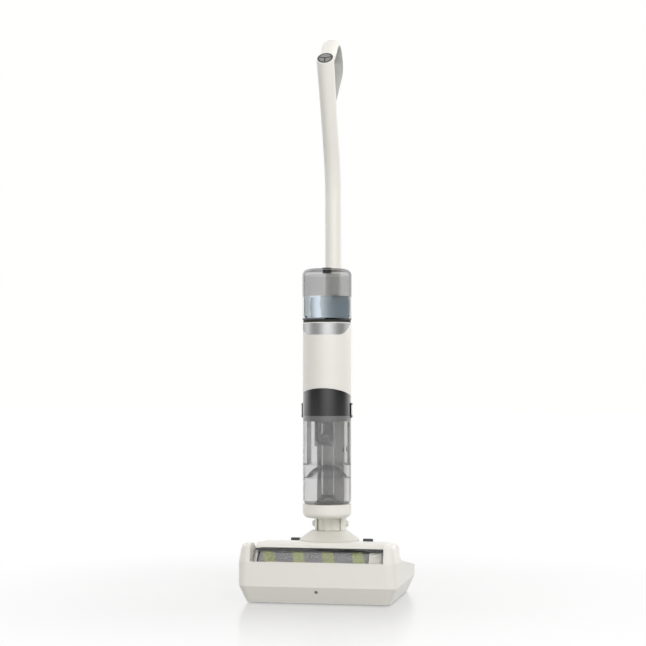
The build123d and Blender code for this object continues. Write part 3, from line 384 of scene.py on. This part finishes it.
# Moulded plastics and rubbers: grain is a noise scale, depth the height of the grain in metres
coatRoughness = 0.12
mouldedFinishes = {
    "ivoryPlastic": {"color": (0.83, 0.815, 0.755), "cloud": 0.03, "rough": 0.36, "spread": 0.08,
                     "grain": 2600, "depth": 0.000003, "coat": 0.12},
    # painted shade: a darker copy of the ivory for the dome, which sits in the shade of the body above it
    "domeIvoryPaintedShade": {"color": (0.64, 0.625, 0.57), "cloud": 0.03, "rough": 0.42, "spread": 0.08,
                  "grain": 2600, "depth": 0.000003, "coat": 0.05},
    "trayPlastic": {"color": (0.42, 0.42, 0.40), "cloud": 0.06, "rough": 0.5, "spread": 0.1,
                    "grain": 1600, "depth": 0.00003, "coat": 0.0},
    "lidBlack": {"color": (0.006, 0.006, 0.0065), "cloud": 0.2, "rough": 0.16, "spread": 0.06,
                 "grain": 2000, "depth": 0.000004, "coat": 0.6},
    "darkPlastic": {"color": (0.055, 0.056, 0.058), "cloud": 0.15, "rough": 0.45, "spread": 0.12,
                    "grain": 1800, "depth": 0.00003, "coat": 0.0},
    "plugGrey": {"color": (0.085, 0.085, 0.085), "cloud": 0.15, "rough": 0.55, "spread": 0.12,
                 "grain": 1600, "depth": 0.00003, "coat": 0.0},
    "keyGrey": {"color": (0.23, 0.23, 0.225), "cloud": 0.08, "rough": 0.42, "spread": 0.1,
                "grain": 1800, "depth": 0.00002, "coat": 0.0},
    "sealRubber": {"color": (0.022, 0.022, 0.022), "cloud": 0.25, "rough": 0.7, "spread": 0.15,
                   "grain": 1400, "depth": 0.00004, "coat": 0.0},
    "collarGrey": {"color": (0.15, 0.15, 0.152), "cloud": 0.06, "rough": 0.22, "spread": 0.08,
                   "grain": 2200, "depth": 0.000008, "coat": 0.5},
    "softGrip": {"color": (0.43, 0.43, 0.41), "cloud": 0.06, "rough": 0.62, "spread": 0.12,
                 "grain": 1500, "depth": 0.000008, "coat": 0.0},
    "coreGrey": {"color": (0.10, 0.10, 0.105), "cloud": 0.1, "rough": 0.5, "spread": 0.1,
                 "grain": 1800, "depth": 0.00002, "coat": 0.0},
    "boardGreen": {"color": (0.02, 0.09, 0.04), "cloud": 0.2, "rough": 0.35, "spread": 0.1,
                   "grain": 1200, "depth": 0.00002, "coat": 0.3},
    "filterWhite": {"color": (0.62, 0.62, 0.59), "cloud": 0.12, "rough": 0.9, "spread": 0.05,
                    "grain": 900, "depth": 0.0001, "coat": 0.0},
    "lensGrey": {"color": (0.17, 0.175, 0.18), "cloud": 0.03, "rough": 0.2, "spread": 0.05,
                 "grain": 2000, "depth": 0.000005, "coat": 0.4},
}


def mouldedFinish(name, look):
    material, tree, shader = newMaterial(name)
    grain = placeGroup(tree, mouldGrain, Color=(*look["color"], 1), Cloud=look["cloud"],
                       Roughness=look["rough"], Spread=look["spread"], Grain=look["grain"])
    feed(tree, grain["Color"], shader["Base Color"])
    feed(tree, grain["Roughness"], shader["Roughness"])
    addBump(tree, shader, grain["Height"], look["depth"])
    shader["Coat Weight"].default_value = look["coat"]
    shader["Coat Roughness"].default_value = coatRoughness
    return material


finishes = {name: mouldedFinish(name, look) for name, look in mouldedFinishes.items()}

# Clear plastic: rim is where a wall that turns away starts to take the rim's colour, and where it has it
clearFinishes = {
    "clearTank": {"color": (0.76, 0.76, 0.76), "rough": 0.0, "marks": 0.02, "ior": 1.06, "through": 1.0,
                  "rim": (0.52, 0.95), "rimColor": (0.09, 0.09, 0.095),
                  "line": 0.5826, "below": (0.94, 0.95, 0.955), "rimBelow": 0.3,
                  # painted shade at the foot, where the tank sits in its seat
                  "foot": 0.5404, "footShadeColor": (0.16, 0.17, 0.18)},
    "smokyTank": {"color": (0.86, 0.86, 0.86), "rough": 0.0, "marks": 0.02, "ior": 1.08, "through": 0.90,
                  "rim": (0.60, 0.97), "rimColor": (0.06, 0.06, 0.065)},
    "smokyInner": {"color": (0.92, 0.92, 0.92), "rough": 0.0, "marks": 0.02, "ior": 1.16, "through": 1.0,
                   "rim": (0.25, 0.62), "rimColor": (0.008, 0.008, 0.009)},
    "smokyPipe": {"color": (0.92, 0.92, 0.92), "rough": 0.0, "marks": 0.02, "ior": 1.42, "through": 1.0,
                  "rim": (0.45, 0.85), "rimColor": (0.02, 0.02, 0.021)},
    "smokyRib": {"color": (0.40, 0.40, 0.41), "rough": 0.0, "marks": 0.02, "ior": 1.04, "through": 1.0,
                 "rim": (0.4, 0.9), "rimColor": (0.05, 0.05, 0.055)},
    "clearWindow": {"color": (0.97, 0.97, 0.97), "rough": 0.0, "marks": 0.03, "ior": 1.25, "through": 1.0,
                    "rim": (0.6, 1.0), "rimColor": (0.5, 0.5, 0.5)},
}


def rimShare(tree, edges):
    # rises to 1 where a curved wall turns away: on clear plastic it stands for light passing a longer way
    # through the wall, on the silver band it sets painted shade
    weight = tree.nodes.new("ShaderNodeLayerWeight")
    weight.inputs["Blend"].default_value = 0.5
    return easeBetween(tree, weight.outputs["Facing"], edges)


def clearFinish(name, look):
    material, tree, shader = newMaterial(name)
    scratches = placeGroup(tree, fineScratches, Roughness=look["rough"], Marks=look["marks"])
    feed(tree, scratches["Roughness"], shader["Roughness"])
    shader["Transmission Weight"].default_value = look["through"]
    shader["IOR"].default_value = look["ior"]
    paint = look["color"]
    rim = rimShare(tree, look["rim"])
    # the dark at the foot is painted shade where the tank meets its seat
    if "line" in look:  # grey above the water, clear below it, dark at the foot
        height = partsOf(tree, placeOf(tree))["Z"]
        above = reckon(tree, "GREATER_THAN", height, look["line"])
        foot = reckon(tree, "LESS_THAN", height, look["foot"])
        paint = mixColor(tree, foot, mixColor(tree, above, look["below"], paint), look["footShadeColor"])
        rim = reckon(tree, "MULTIPLY", rim, mixValue(tree, above, look["rimBelow"], 1.0))
    feed(tree, mixColor(tree, rim, paint, look["rimColor"]), shader["Base Color"])
    return material


finishes.update({name: clearFinish(name, look) for name, look in clearFinishes.items()})


def paintOver(tree, mask, color):
    # lays a colour over a moulded finish where the mask is 1
    base = tree.nodes["Principled BSDF"].inputs["Base Color"]
    feed(tree, mixColor(tree, mask, base.links[0].from_socket, color), base)


# Dark seams round the three keys, on the panel's own plane
keySeams = {
    "centre": (-0.03912, 1.046),  # y and z
    "oval": (0.0137, 0.0152),  # half width and half height
    "bow": (0.0264, 0.0260),  # height of its centre and its radius
    "width": 0.0014,
    "border": (0.80, 0.94),  # share of the oval where it starts, and where it is full
    "color": (0.028, 0.028, 0.028),
}


def paintKeySeams(material, look):
    tree = material.node_tree
    place = partsOf(tree, placeOf(tree))
    across = reckon(tree, "ABSOLUTE", place["X"])
    back, rise = (reckon(tree, "SUBTRACT", place[axis], middle) for axis, middle in zip("YZ", look["centre"]))
    up = reckon(tree, "MULTIPLY", reckon(tree, "ADD", back, rise), math.sqrt(0.5))
    wide, tall = (reckon(tree, "DIVIDE", part, half) for part, half in zip((across, up), look["oval"]))
    border = reckon(tree, "SUBTRACT", 1.0, within(tree, flatLength(tree, wide, tall), look["border"]))
    bowHeight, bowRadius = look["bow"]
    fromBow = flatLength(tree, across, reckon(tree, "SUBTRACT", up, bowHeight))
    bow = reckon(tree, "SUBTRACT", fromBow, bowRadius)
    seam = (0.5 * look["width"], 1.5 * look["width"])
    divider = within(tree, reckon(tree, "ABSOLUTE", bow), seam)
    middle = reckon(tree, "MULTIPLY", within(tree, across, seam), reckon(tree, "GREATER_THAN", bow, 0.0))
    paintOver(tree, reckon(tree, "MAXIMUM", border, reckon(tree, "MAXIMUM", divider, middle)), look["color"])


paintKeySeams(finishes["keyGrey"], keySeams)

# Side clips: ivory outside, dark at the hook and at the pin, and painted shade on the side next to the lid,
# where the gap between clip and lid lies in shadow
clipEndsAndShade = {"inside": 0.0487, "low": 0.3530, "high": 0.3728, "color": (0.03, 0.03, 0.032)}


def paintClipEndsAndShade(material, look):
    tree = material.node_tree
    place = partsOf(tree, placeOf(tree))
    # painted shade on the clip's inner side next to the lid
    inside = reckon(tree, "LESS_THAN", reckon(tree, "ABSOLUTE", place["X"]), look["inside"])
    low = reckon(tree, "LESS_THAN", place["Z"], look["low"])
    high = reckon(tree, "GREATER_THAN", place["Z"], look["high"])
    paintOver(tree, reckon(tree, "MAXIMUM", inside, reckon(tree, "MAXIMUM", low, high)), look["color"])


finishes["clipIvory"] = mouldedFinish("clipIvory", mouldedFinishes["ivoryPlastic"])
paintClipEndsAndShade(finishes["clipIvory"], clipEndsAndShade)

# Chassis: dark, with light cheeks at both ends of the roller
cheeks = {"from": 0.1140, "color": (0.66, 0.65, 0.61)}


def paintCheeks(material, look):
    tree = material.node_tree
    across = reckon(tree, "ABSOLUTE", partsOf(tree, placeOf(tree))["X"])
    paintOver(tree, reckon(tree, "GREATER_THAN", across, look["from"]), look["color"])


finishes["chassisDark"] = mouldedFinish("chassisDark", mouldedFinishes["darkPlastic"])
paintCheeks(finishes["chassisDark"], cheeks)

# Metals with rubbing marks
metalFinishes = {
    # the silver band's rim and rimColor are painted shade, darker where the band turns away
    "bandSilver": {"color": (0.58, 0.58, 0.585), "rough": 0.3, "marks": 0.25, "depth": 0.00001,
                   "rim": (0.15, 0.75), "rimColor": (0.24, 0.24, 0.245)},
    "turnedSteel": {"color": (0.56, 0.565, 0.57), "rough": 0.28, "marks": 0.3, "depth": 0.00001},
    "contactBrass": {"color": (0.75, 0.52, 0.22), "rough": 0.22, "marks": 0.2, "depth": 0.00001},
}


def metalFinish(name, look):
    material, tree, shader = newMaterial(name)
    scratches = placeGroup(tree, fineScratches, Roughness=look["rough"], Marks=look["marks"])
    feed(tree, scratches["Roughness"], shader["Roughness"])
    addBump(tree, shader, scratches["Height"], look["depth"])
    shader["Metallic"].default_value = 1.0
    shader["Base Color"].default_value = (*look["color"], 1)
    # painted shade: the band takes the rim's darker colour as it turns away
    if "rim" in look:  # the band darkens as it turns away
        rim = rimShare(tree, look["rim"])
        feed(tree, mixColor(tree, rim, look["color"], look["rimColor"]), shader["Base Color"])
    return material


finishes.update({name: metalFinish(name, look) for name, look in metalFinishes.items()})

# Which CAD nodes get which finish
nodeFinishes = {
    # painted shade: the dome takes the darker copy of the ivory
    "domeIvoryPaintedShade": "neck_dome",
    "ivoryPlastic": "dock_shell head_cover cover_frame hinge_bracket hinge_pins neck_knuckle base_collar "
                    "rear_spine motor_housing_front motor_housing_rear handle_tube grip_body "
                    "roller_end_holder",
    "trayPlastic": "dock_tray dock_base_plate",
    "lidBlack": "tank_lid",
    "keyGrey": "power_button mode_button clean_button",
    "clipIvory": "lid_clip_left lid_clip_right",
    "chassisDark": "head_chassis",
    "darkPlastic": "button_bezel release_button_left release_button_right dock_inlet water_pump",
    "sealRubber": "dock_feet scraper_blade tank_seat clean_tank_gasket outlet_valve wheel_left wheel_right",
    "plugGrey": "filler_plug",
    "bandSilver": "display_panel",
    "clearTank": "clean_tank_shell",
    "clearWindow": "roller_window",
    "smokyTank": "dirty_tank_shell",
    "smokyPipe": "standpipe",
    "smokyInner": "filter_cup separator_ring strainer_dome",
    "collarGrey": "tank_collar",
    "softGrip": "grip_liner",
    "coreGrey": "roller_core battery_pack impeller spray_bar float_ball roller_nap",
    "turnedSteel": "wheel_axles roller_motor suction_motor",
    "contactBrass": "dock_contacts",
    "boardGreen": "control_board",
    "filterWhite": "lid_filter",
    "lensGrey": "dock_indicator",
}
for finish, names in nodeFinishes.items():
    for name in names.split():
        mesh = nodes[name].data
        mesh.materials.clear()
        mesh.materials.append(finishes[finish])
print("finishes:", len(finishes), "on the CAD nodes")

# Helpers for pieces and Geometry Nodes


def newTree(name, sockets):
    tree = bpy.data.node_groups.new(name, "GeometryNodeTree")
    for socketName, kind in {"Geometry": "Geometry", **sockets, "Finish": "Material"}.items():
        tree.interface.new_socket(socketName, in_out="INPUT", socket_type="NodeSocket" + kind)
    tree.interface.new_socket("Geometry", in_out="OUTPUT", socket_type="NodeSocketGeometry")
    return tree, tree.nodes.new("NodeGroupInput").outputs, tree.nodes.new("NodeGroupOutput").inputs


def addNode(tree, kind, settings=None, **wires):
    # one node: settings are its own options, wires its sockets by name with _ for a space
    node = tree.nodes.new(kind)
    for key, value in (settings or {}).items():
        setattr(node, key, value)
    for key, value in wires.items():
        feed(tree, value, node.inputs[key.replace("_", " ")])
    return node.outputs


def closeTree(tree, start, end, geometry):
    solid = addNode(tree, "GeometryNodeRealizeInstances", Geometry=geometry)
    painted = addNode(tree, "GeometryNodeSetMaterial", Geometry=solid["Geometry"], Material=start["Finish"])
    feed(tree, painted["Geometry"], end["Geometry"])


def newPiece(name, mesh, body):
    piece = bpy.data.objects.new(name, mesh)
    bpy.context.scene.collection.objects.link(piece)
    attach(piece, body)
    return piece


def growPiece(name, tree, base, values, body):
    # runs a tree on a base mesh and keeps the result as a plain mesh
    holder = bpy.data.objects.new(name + "Base", base)
    bpy.context.scene.collection.objects.link(holder)
    modifier = holder.modifiers.new("grow", "NODES")
    modifier.node_group = tree
    for item in tree.interface.items_tree:
        if item.in_out == "INPUT" and item.name in values:
            modifier[item.identifier] = values[item.name]
    evaluated = holder.evaluated_get(bpy.context.evaluated_depsgraph_get())
    mesh = bpy.data.meshes.new_from_object(evaluated)
    mesh.name = name
    bpy.data.objects.remove(holder)
    return newPiece(name, mesh, body)


def pointMesh(name, points=((0, 0, 0),)):
    mesh = bpy.data.meshes.new(name)
    mesh.from_pydata(points, [], [])
    return mesh


def shellMesh(name, verts, faces):
    # a closed mesh with its faces turned outwards
    mesh = bpy.data.meshes.new(name)
    mesh.from_pydata(verts, [], faces)
    work = bmesh.new()
    work.from_mesh(mesh)
    bmesh.ops.recalc_face_normals(work, faces=work.faces)
    work.to_mesh(mesh)
    work.free()
    return mesh


def latheMesh(name, profile, centre, axis="Z", segments=96):
    # a turned shape from (radius, height) pairs that start and end on the axis, or close to a ring
    verts, rings, faces = [], [], []
    for radius, height in profile:
        steps = segments if radius else 1
        rings.append(range(len(verts), len(verts) + steps))
        for step in range(steps):
            turn = 2 * math.pi * step / segments
            verts.append((radius * math.cos(turn), radius * math.sin(turn), height))
    if profile[0][0]:
        rings.append(rings[0])
    for low, high in zip(rings, rings[1:]):
        for step in range(segments):
            after = step + 1
            corners = [low[step % len(low)], low[after % len(low)],
                       high[after % len(high)], high[step % len(high)]]
            faces.append(list(dict.fromkeys(corners)))  # three corners next to the axis
    if axis == "X":
        verts = [(height, x, y) for x, y, height in verts]
    return shellMesh(name, [Vector(vert) + Vector(centre) for vert in verts], faces)


def smooth(mesh, angle=40):
    for face in mesh.polygons:
        face.use_smooth = True
    mesh.set_sharp_from_angle(angle=math.radians(angle))


# Roller: a microfibre sleeve with a spiral stripe
roller = {
    "axis": (-0.080, 0.065),  # y and z of its axle
    "ends": (-0.1146, 0.095),
    "sleeve": 0.0330,
    "bore": 0.0262,
    "bevel": 0.002,
    "tuftLength": 0.0016,
    "tuftWidth": 0.00062,
    "density": 620000.0,  # tufts on a square metre
    "lean": 0.35,
    "twist": 3.14,  # each way
    "seed": 7,
    "pitch": 0.057,
    "stripeWidth": 0.38,  # share of the pitch
    "stripeStart": 0.0105,
    "stripeBlur": 0.02,
    "ragged": (700.0, 0.05),  # scale and size of the unevenness along the stripe
    "shade": (1500.0, 0.88, 0.24),  # scale, darkest and spread of the tufts' own shades
    "ground": (0.45, 0.44, 0.455),
    "stripe": (0.59, 0.63, 0.375),
    "sheen": 0.25,
}


def pileFinish(look):
    material, tree, shader = newMaterial("microfibrePile")
    place = placeOf(tree)
    parts = partsOf(tree, place)
    front = reckon(tree, "SUBTRACT", look["axis"][0], parts["Y"])
    high = reckon(tree, "SUBTRACT", parts["Z"], look["axis"][1])
    turn = reckon(tree, "DIVIDE", reckon(tree, "ARCTAN2", front, high), 2 * math.pi)
    along = reckon(tree, "DIVIDE", reckon(tree, "SUBTRACT", parts["X"], look["stripeStart"]), look["pitch"])
    raggedScale, raggedSize = look["ragged"]
    uneven = reckon(tree, "SUBTRACT", noiseAt(tree, place, raggedScale), 0.5)
    ragged = reckon(tree, "MULTIPLY", uneven, raggedSize)
    spiral = reckon(tree, "ADD", reckon(tree, "SUBTRACT", along, turn), ragged)
    # distance from the middle of the nearest stripe, in pitches
    share = reckon(tree, "FRACT", reckon(tree, "ADD", spiral, 0.5))
    apart = reckon(tree, "ABSOLUTE", reckon(tree, "SUBTRACT", share, 0.5))
    edge, blur = look["stripeWidth"] / 2, look["stripeBlur"]
    paint = mixColor(tree, within(tree, apart, (edge - blur, edge + blur)), look["ground"], look["stripe"])
    shadeScale, darkest, spread = look["shade"]
    shade = reckon(tree, "MULTIPLY", noiseAt(tree, place, shadeScale), spread)
    feed(tree, tintBy(tree, paint, reckon(tree, "ADD", darkest, shade)), shader["Base Color"])
    shader["Roughness"].default_value = 0.95
    shader["Sheen Weight"].default_value = look["sheen"]
    shader["Sheen Roughness"].default_value = 0.5
    return material


def buildPileTree():
    tree, start, end = newTree("pileTree", {"Density": "Float", "Length": "Float", "Width": "Float",
                                            "Lean": "Float", "Twist": "Float", "Seed": "Int"})
    points = addNode(tree, "GeometryNodeDistributePointsOnFaces", Mesh=start["Geometry"],
                     Density=start["Density"], Seed=start["Seed"])
    tuft = addNode(tree, "GeometryNodeMeshCone", {"fill_type": "NONE"}, Vertices=3, Radius_Top=0.0,
                   Radius_Bottom=start["Width"], Depth=start["Length"])
    lean, twist = (reckon(tree, "MULTIPLY", start[name], -1.0) for name in ("Lean", "Twist"))
    lowest = addNode(tree, "ShaderNodeCombineXYZ", X=lean, Y=lean, Z=twist)
    highest = addNode(tree, "ShaderNodeCombineXYZ", X=start["Lean"], Y=start["Lean"], Z=start["Twist"])
    spin = addNode(tree, "FunctionNodeRandomValue", {"data_type": "FLOAT_VECTOR"}, Min=lowest[0],
                   Max=highest[0], Seed=start["Seed"])
    tufts = addNode(tree, "GeometryNodeInstanceOnPoints", Points=points["Points"], Instance=tuft["Mesh"],
                    Rotation=points["Rotation"])
    leaning = addNode(tree, "GeometryNodeRotateInstances", Instances=tufts["Instances"], Rotation=spin[0])
    both = addNode(tree, "GeometryNodeJoinGeometry", Geometry=leaning["Instances"])
    feed(tree, start["Geometry"], both["Geometry"].node.inputs["Geometry"])
    closeTree(tree, start, end, both["Geometry"])
    return tree


def makeRoller(look):
    low, high = look["ends"]
    inner, outer, edge = look["bore"], look["sleeve"], look["bevel"]
    profile = [(inner, low), (outer - edge, low), (outer, low + edge), (outer, high - edge),
               (outer - edge, high), (inner, high)]
    sleeve = latheMesh("rollerSleeve", profile, (0, *look["axis"]), axis="X")
    values = {"Density": look["density"], "Length": look["tuftLength"], "Width": look["tuftWidth"],
              "Lean": look["lean"], "Twist": look["twist"], "Seed": look["seed"], "Finish": pileFinish(look)}
    pile = growPiece("rollerPile", buildPileTree(), sleeve, values, "roller")
    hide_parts("roller_nap")
    print("roller pile:", len(pile.data.polygons), "faces")


makeRoller(roller)

# Water in the clean tank
water = {"centre": (0, -0.020, 0), "radius": 0.0451, "bottom": 0.5402, "level": 0.5826, "round": 0.004,
         "color": (0.82, 0.91, 1.0), "ior": 1.33, "rippleScale": 60.0, "rippleDepth": 0.0004}


def makeWater(look):
    radius, edge, low, high = look["radius"], look["round"], look["bottom"], look["level"]
    profile = [(0, low), (radius - edge, low), (radius, low + edge), (radius, high), (0, high)]
    mesh = latheMesh("cleanWater", profile, look["centre"])
    smooth(mesh, 30)
    material, tree, shader = newMaterial("cleanWater")
    addBump(tree, shader, noiseAt(tree, placeOf(tree), look["rippleScale"]), look["rippleDepth"])
    shader["Base Color"].default_value = (*look["color"], 1)
    shader["Roughness"].default_value = 0.0
    shader["Transmission Weight"].default_value = 1.0
    shader["IOR"].default_value = look["ior"]
    mesh.materials.append(material)
    newPiece("cleanWater", mesh, "clean_tank")


makeWater(water)
print("water in the clean tank")

# Thin mist on the wall above the water
mist = {"centre": (0, -0.020, 0), "radii": (0.0446, 0.0450), "heights": (0.5832, 0.6240),
        "color": (0.60, 0.60, 0.60), "alpha": 0.17,
        "patches": (40.0, 0.8, 0.4)}  # scale, thinnest and spread


def makeMist(look):
    inner, outer = look["radii"]
    low, high = look["heights"]
    profile = [(inner, low), (outer, low), (outer, high), (inner, high)]
    mesh = latheMesh("tankMist", profile, look["centre"])
    smooth(mesh, 30)
    material, tree, shader = newMaterial("tankMist")
    scale, thinnest, spread = look["patches"]
    patch = reckon(tree, "MULTIPLY", noiseAt(tree, placeOf(tree), scale, 3.0), spread)
    patchy = reckon(tree, "ADD", thinnest, patch)
    feed(tree, reckon(tree, "MULTIPLY", patchy, look["alpha"]), shader["Alpha"])
    shader["Base Color"].default_value = (*look["color"], 1)
    shader["Roughness"].default_value = 0.7
    mesh.materials.append(material)
    newPiece("tankMist", mesh, "clean_tank")


makeMist(mist)
print("mist above the water")

# Ivory lip on the roller window's upper edge and a dark strip behind it, painted shade for the shaded gap above
# the roller, by their angles round the roller
windowStrips = {
    "axis": (-0.080, 0.065),
    "half": 0.1235,
    "steps": 12,
    "strips": {
        "windowLip": {"angles": (95, 112.3), "radii": (0.0411, 0.0417),
                      "finish": "ivoryPlastic", "slot": "ivory_plastic"},
        # painted shade: a dark strip inside the window, where the gap above the roller lies in shade
        "windowShadeStrip": {"angles": (111.5, 122), "radii": (0.0381, 0.0388),
                       "finish": "sealRubber", "slot": "dark_rubber"},
    },
}


def makeWindowStrip(name, strip, look):
    first, last = (math.radians(angle) for angle in strip["angles"])
    half, steps = look["half"], look["steps"]
    verts, faces = [], []
    for step in range(steps + 1):
        turn = first + (last - first) * step / steps
        for radius in strip["radii"]:
            y = look["axis"][0] + radius * math.cos(turn)
            z = look["axis"][1] + radius * math.sin(turn)
            verts += [(-half, y, z), (half, y, z)]
    for base in range(0, 4 * steps, 4):
        for a, b in ((0, 1), (1, 3), (3, 2), (2, 0)):
            faces.append((base + a, base + b, base + 4 + b, base + 4 + a))
    end = 4 * steps
    faces += [(0, 1, 3, 2), (end, end + 1, end + 3, end + 2)]
    mesh = shellMesh(name, verts, faces)
    smooth(mesh)
    mesh.materials.append(finishes[strip["finish"]])
    newPiece(name, mesh, "roller_cover")


for name, strip in windowStrips["strips"].items():
    makeWindowStrip(name, strip, windowStrips)
print("lip and seal of the window")

# Cross-head screws
screws = {
    "size": {"Radius": 0.0032, "Height": 0.0009, "Slot": 0.0009},
    "rows": {
        "spineScrews": {"body": "main_body", "facing": (0, 1, 0),
                        "points": [(x, 0.0658, z) for z in (0.246, 0.488) for x in (0.017, -0.017)]},
        "plateScrews": {"body": "dock", "facing": (0, 0, -1),
                        "points": [(x, y, 0.0022) for x in (-0.112, 0, 0.112) for y in (-0.068, 0.068)]},
    },
}


def buildScrewTree():
    tree, start, end = newTree("screwTree", {"Radius": "Float", "Height": "Float", "Slot": "Float",
                                             "Facing": "Vector"})
    radius, height, slot = start["Radius"], start["Height"], start["Slot"]
    head = addNode(tree, "GeometryNodeMeshCylinder", Vertices=16, Radius=radius, Depth=height)
    cross = addNode(tree, "GeometryNodeMeshBoolean", {"operation": "DIFFERENCE"}, Mesh_1=head["Mesh"])
    raised = addNode(tree, "ShaderNodeCombineXYZ", Z=height)
    for wide, tall in ((radius, slot), (slot, radius)):
        size = addNode(tree, "ShaderNodeCombineXYZ", X=wide, Y=tall, Z=height)
        bar = addNode(tree, "GeometryNodeMeshCube", Size=size[0])
        cutter = addNode(tree, "GeometryNodeTransform", Geometry=bar["Mesh"], Translation=raised[0])
        feed(tree, cutter["Geometry"], cross["Mesh"].node.inputs["Mesh 2"])
    aim = addNode(tree, "FunctionNodeAlignRotationToVector", {"axis": "Z"}, Vector=start["Facing"])
    dots = addNode(tree, "GeometryNodeMeshToPoints", Mesh=start["Geometry"])
    placed = addNode(tree, "GeometryNodeInstanceOnPoints", Points=dots["Points"], Instance=cross["Mesh"],
                     Rotation=aim[0])
    closeTree(tree, start, end, placed["Instances"])
    return tree


screwTree = buildScrewTree()
for name, row in screws["rows"].items():
    values = {**screws["size"], "Facing": row["facing"], "Finish": finishes["turnedSteel"]}
    growPiece(name, screwTree, pointMesh(name, row["points"]), values, row["body"])
print("screws: spine and base plate")

# Tread ribs round the back wheels
treads = {
    "size": {"Radius": 0.0159, "Count": 30, "Rib": (0.0012, 0.0125, 0.0006)},  # a rib's width, length, height
    "places": {"left_wheel": -0.092, "right_wheel": 0.092},
    "centre": (0.070, 0.046),
}


def buildTreadTree():
    tree, start, end = newTree("treadTree", {"Radius": "Float", "Count": "Int", "Rib": "Vector",
                                             "Centre": "Vector"})
    ring = addNode(tree, "GeometryNodeMeshCircle", Vertices=start["Count"], Radius=start["Radius"])
    outward = addNode(tree, "GeometryNodeInputPosition")
    turn = addNode(tree, "FunctionNodeAlignRotationToVector", {"axis": "X"}, Vector=outward[0])
    parts = addNode(tree, "ShaderNodeSeparateXYZ", Vector=start["Rib"])
    size = addNode(tree, "ShaderNodeCombineXYZ", X=parts["Z"], Y=parts["X"], Z=parts["Y"])
    rib = addNode(tree, "GeometryNodeMeshCube", Size=size[0])
    ribs = addNode(tree, "GeometryNodeInstanceOnPoints", Points=ring["Mesh"], Instance=rib["Mesh"],
                   Rotation=turn[0])
    across = addNode(tree, "GeometryNodeTransform", Geometry=ribs["Instances"],
                     Translation=start["Centre"], Rotation=(0, math.pi / 2, 0))
    closeTree(tree, start, end, across["Geometry"])
    return tree


treadTree = buildTreadTree()
for body, x in treads["places"].items():
    values = {**treads["size"], "Centre": (x, *treads["centre"]), "Finish": finishes["sealRubber"]}
    growPiece(body + "Tread", treadTree, pointMesh("tread"), values, body)
print("wheel treads")

# Slats that follow an arc: the exhaust of the motor housing, and strips on the wall of the dirty tank


def buildSlatTree():
    tree, start, end = newTree("slatTree", {"Radius": "Float", "Start": "Float", "Sweep": "Float",
                                            "Depth": "Float", "Width": "Float", "Count": "Int",
                                            "Step": "Float", "Foot": "Vector"})
    bow = addNode(tree, "GeometryNodeCurveArc", {"mode": "RADIUS"}, Resolution=20, Radius=start["Radius"],
                  Start_Angle=start["Start"], Sweep_Angle=start["Sweep"])
    section = addNode(tree, "GeometryNodeCurvePrimitiveQuadrilateral", Width=start["Depth"],
                      Height=start["Width"])
    slat = addNode(tree, "GeometryNodeCurveToMesh", Curve=bow["Curve"], Profile_Curve=section["Curve"],
                   Fill_Caps=True)
    rise = addNode(tree, "ShaderNodeCombineXYZ", Z=start["Step"])
    line = addNode(tree, "GeometryNodeMeshLine", {"mode": "OFFSET"}, Count=start["Count"],
                   Start_Location=start["Foot"], Offset=rise[0])
    slats = addNode(tree, "GeometryNodeInstanceOnPoints", Points=line["Mesh"], Instance=slat["Mesh"])
    closeTree(tree, start, end, slats["Instances"])
    return tree


slatTree = buildSlatTree()


def growSlats(name, size, angles, foot, finish, body):
    start, sweep = (math.radians(angle) for angle in angles)
    values = {**size, "Start": start, "Sweep": sweep, "Foot": foot, "Finish": finishes[finish]}
    growPiece(name, slatTree, pointMesh(name), values, body)


# Exhaust slats: angles are the start and the sweep in degrees
grille = {
    "size": {"Radius": 0.0469, "Depth": 0.0011, "Width": 0.0018, "Count": 9, "Step": 0.0052},
    "foot": (0, -0.020, 0.4335),
    "angles": {"rightGrille": (17.0, 30.0), "leftGrille": (133.0, 30.0)},
}
for name, angles in grille["angles"].items():
    growSlats(name, grille["size"], angles, grille["foot"], "darkPlastic", "main_body")
print("exhaust slats")

# Guide ribs and level contacts on the inner wall of the dirty tank
guideSize = {"Radius": 0.0437, "Depth": 0.0012, "Width": 0.080, "Count": 1, "Step": 0.0}
contactSize = {"Radius": 0.0441, "Depth": 0.0007, "Width": 0.0095, "Count": 1, "Step": 0.0}
tankStrips = {
    "leftGuide": {"size": guideSize, "angles": (146.5, 18.0), "middle": (0, -0.020, 0.3000),
                  "finish": "smokyRib", "slot": "smoky_plastic"},
    "rightGuide": {"size": guideSize, "angles": (15.5, 18.0), "middle": (0, -0.020, 0.3000),
                   "finish": "smokyRib", "slot": "smoky_plastic"},
    "longContact": {"size": contactSize, "angles": (-36.3, 2.6), "middle": (0, -0.020, 0.2875),
                    "finish": "sealRubber", "slot": "dark_rubber"},
    "shortContact": {"size": contactSize, "angles": (-22.2, 2.6), "middle": (0, -0.020, 0.2885),
                     "finish": "sealRubber", "slot": "dark_rubber"},
}
for name, strip in tankStrips.items():
    growSlats(name, strip["size"], strip["angles"], strip["middle"], strip["finish"], "dirty_tank")
print("guide ribs and contacts in the dirty tank")
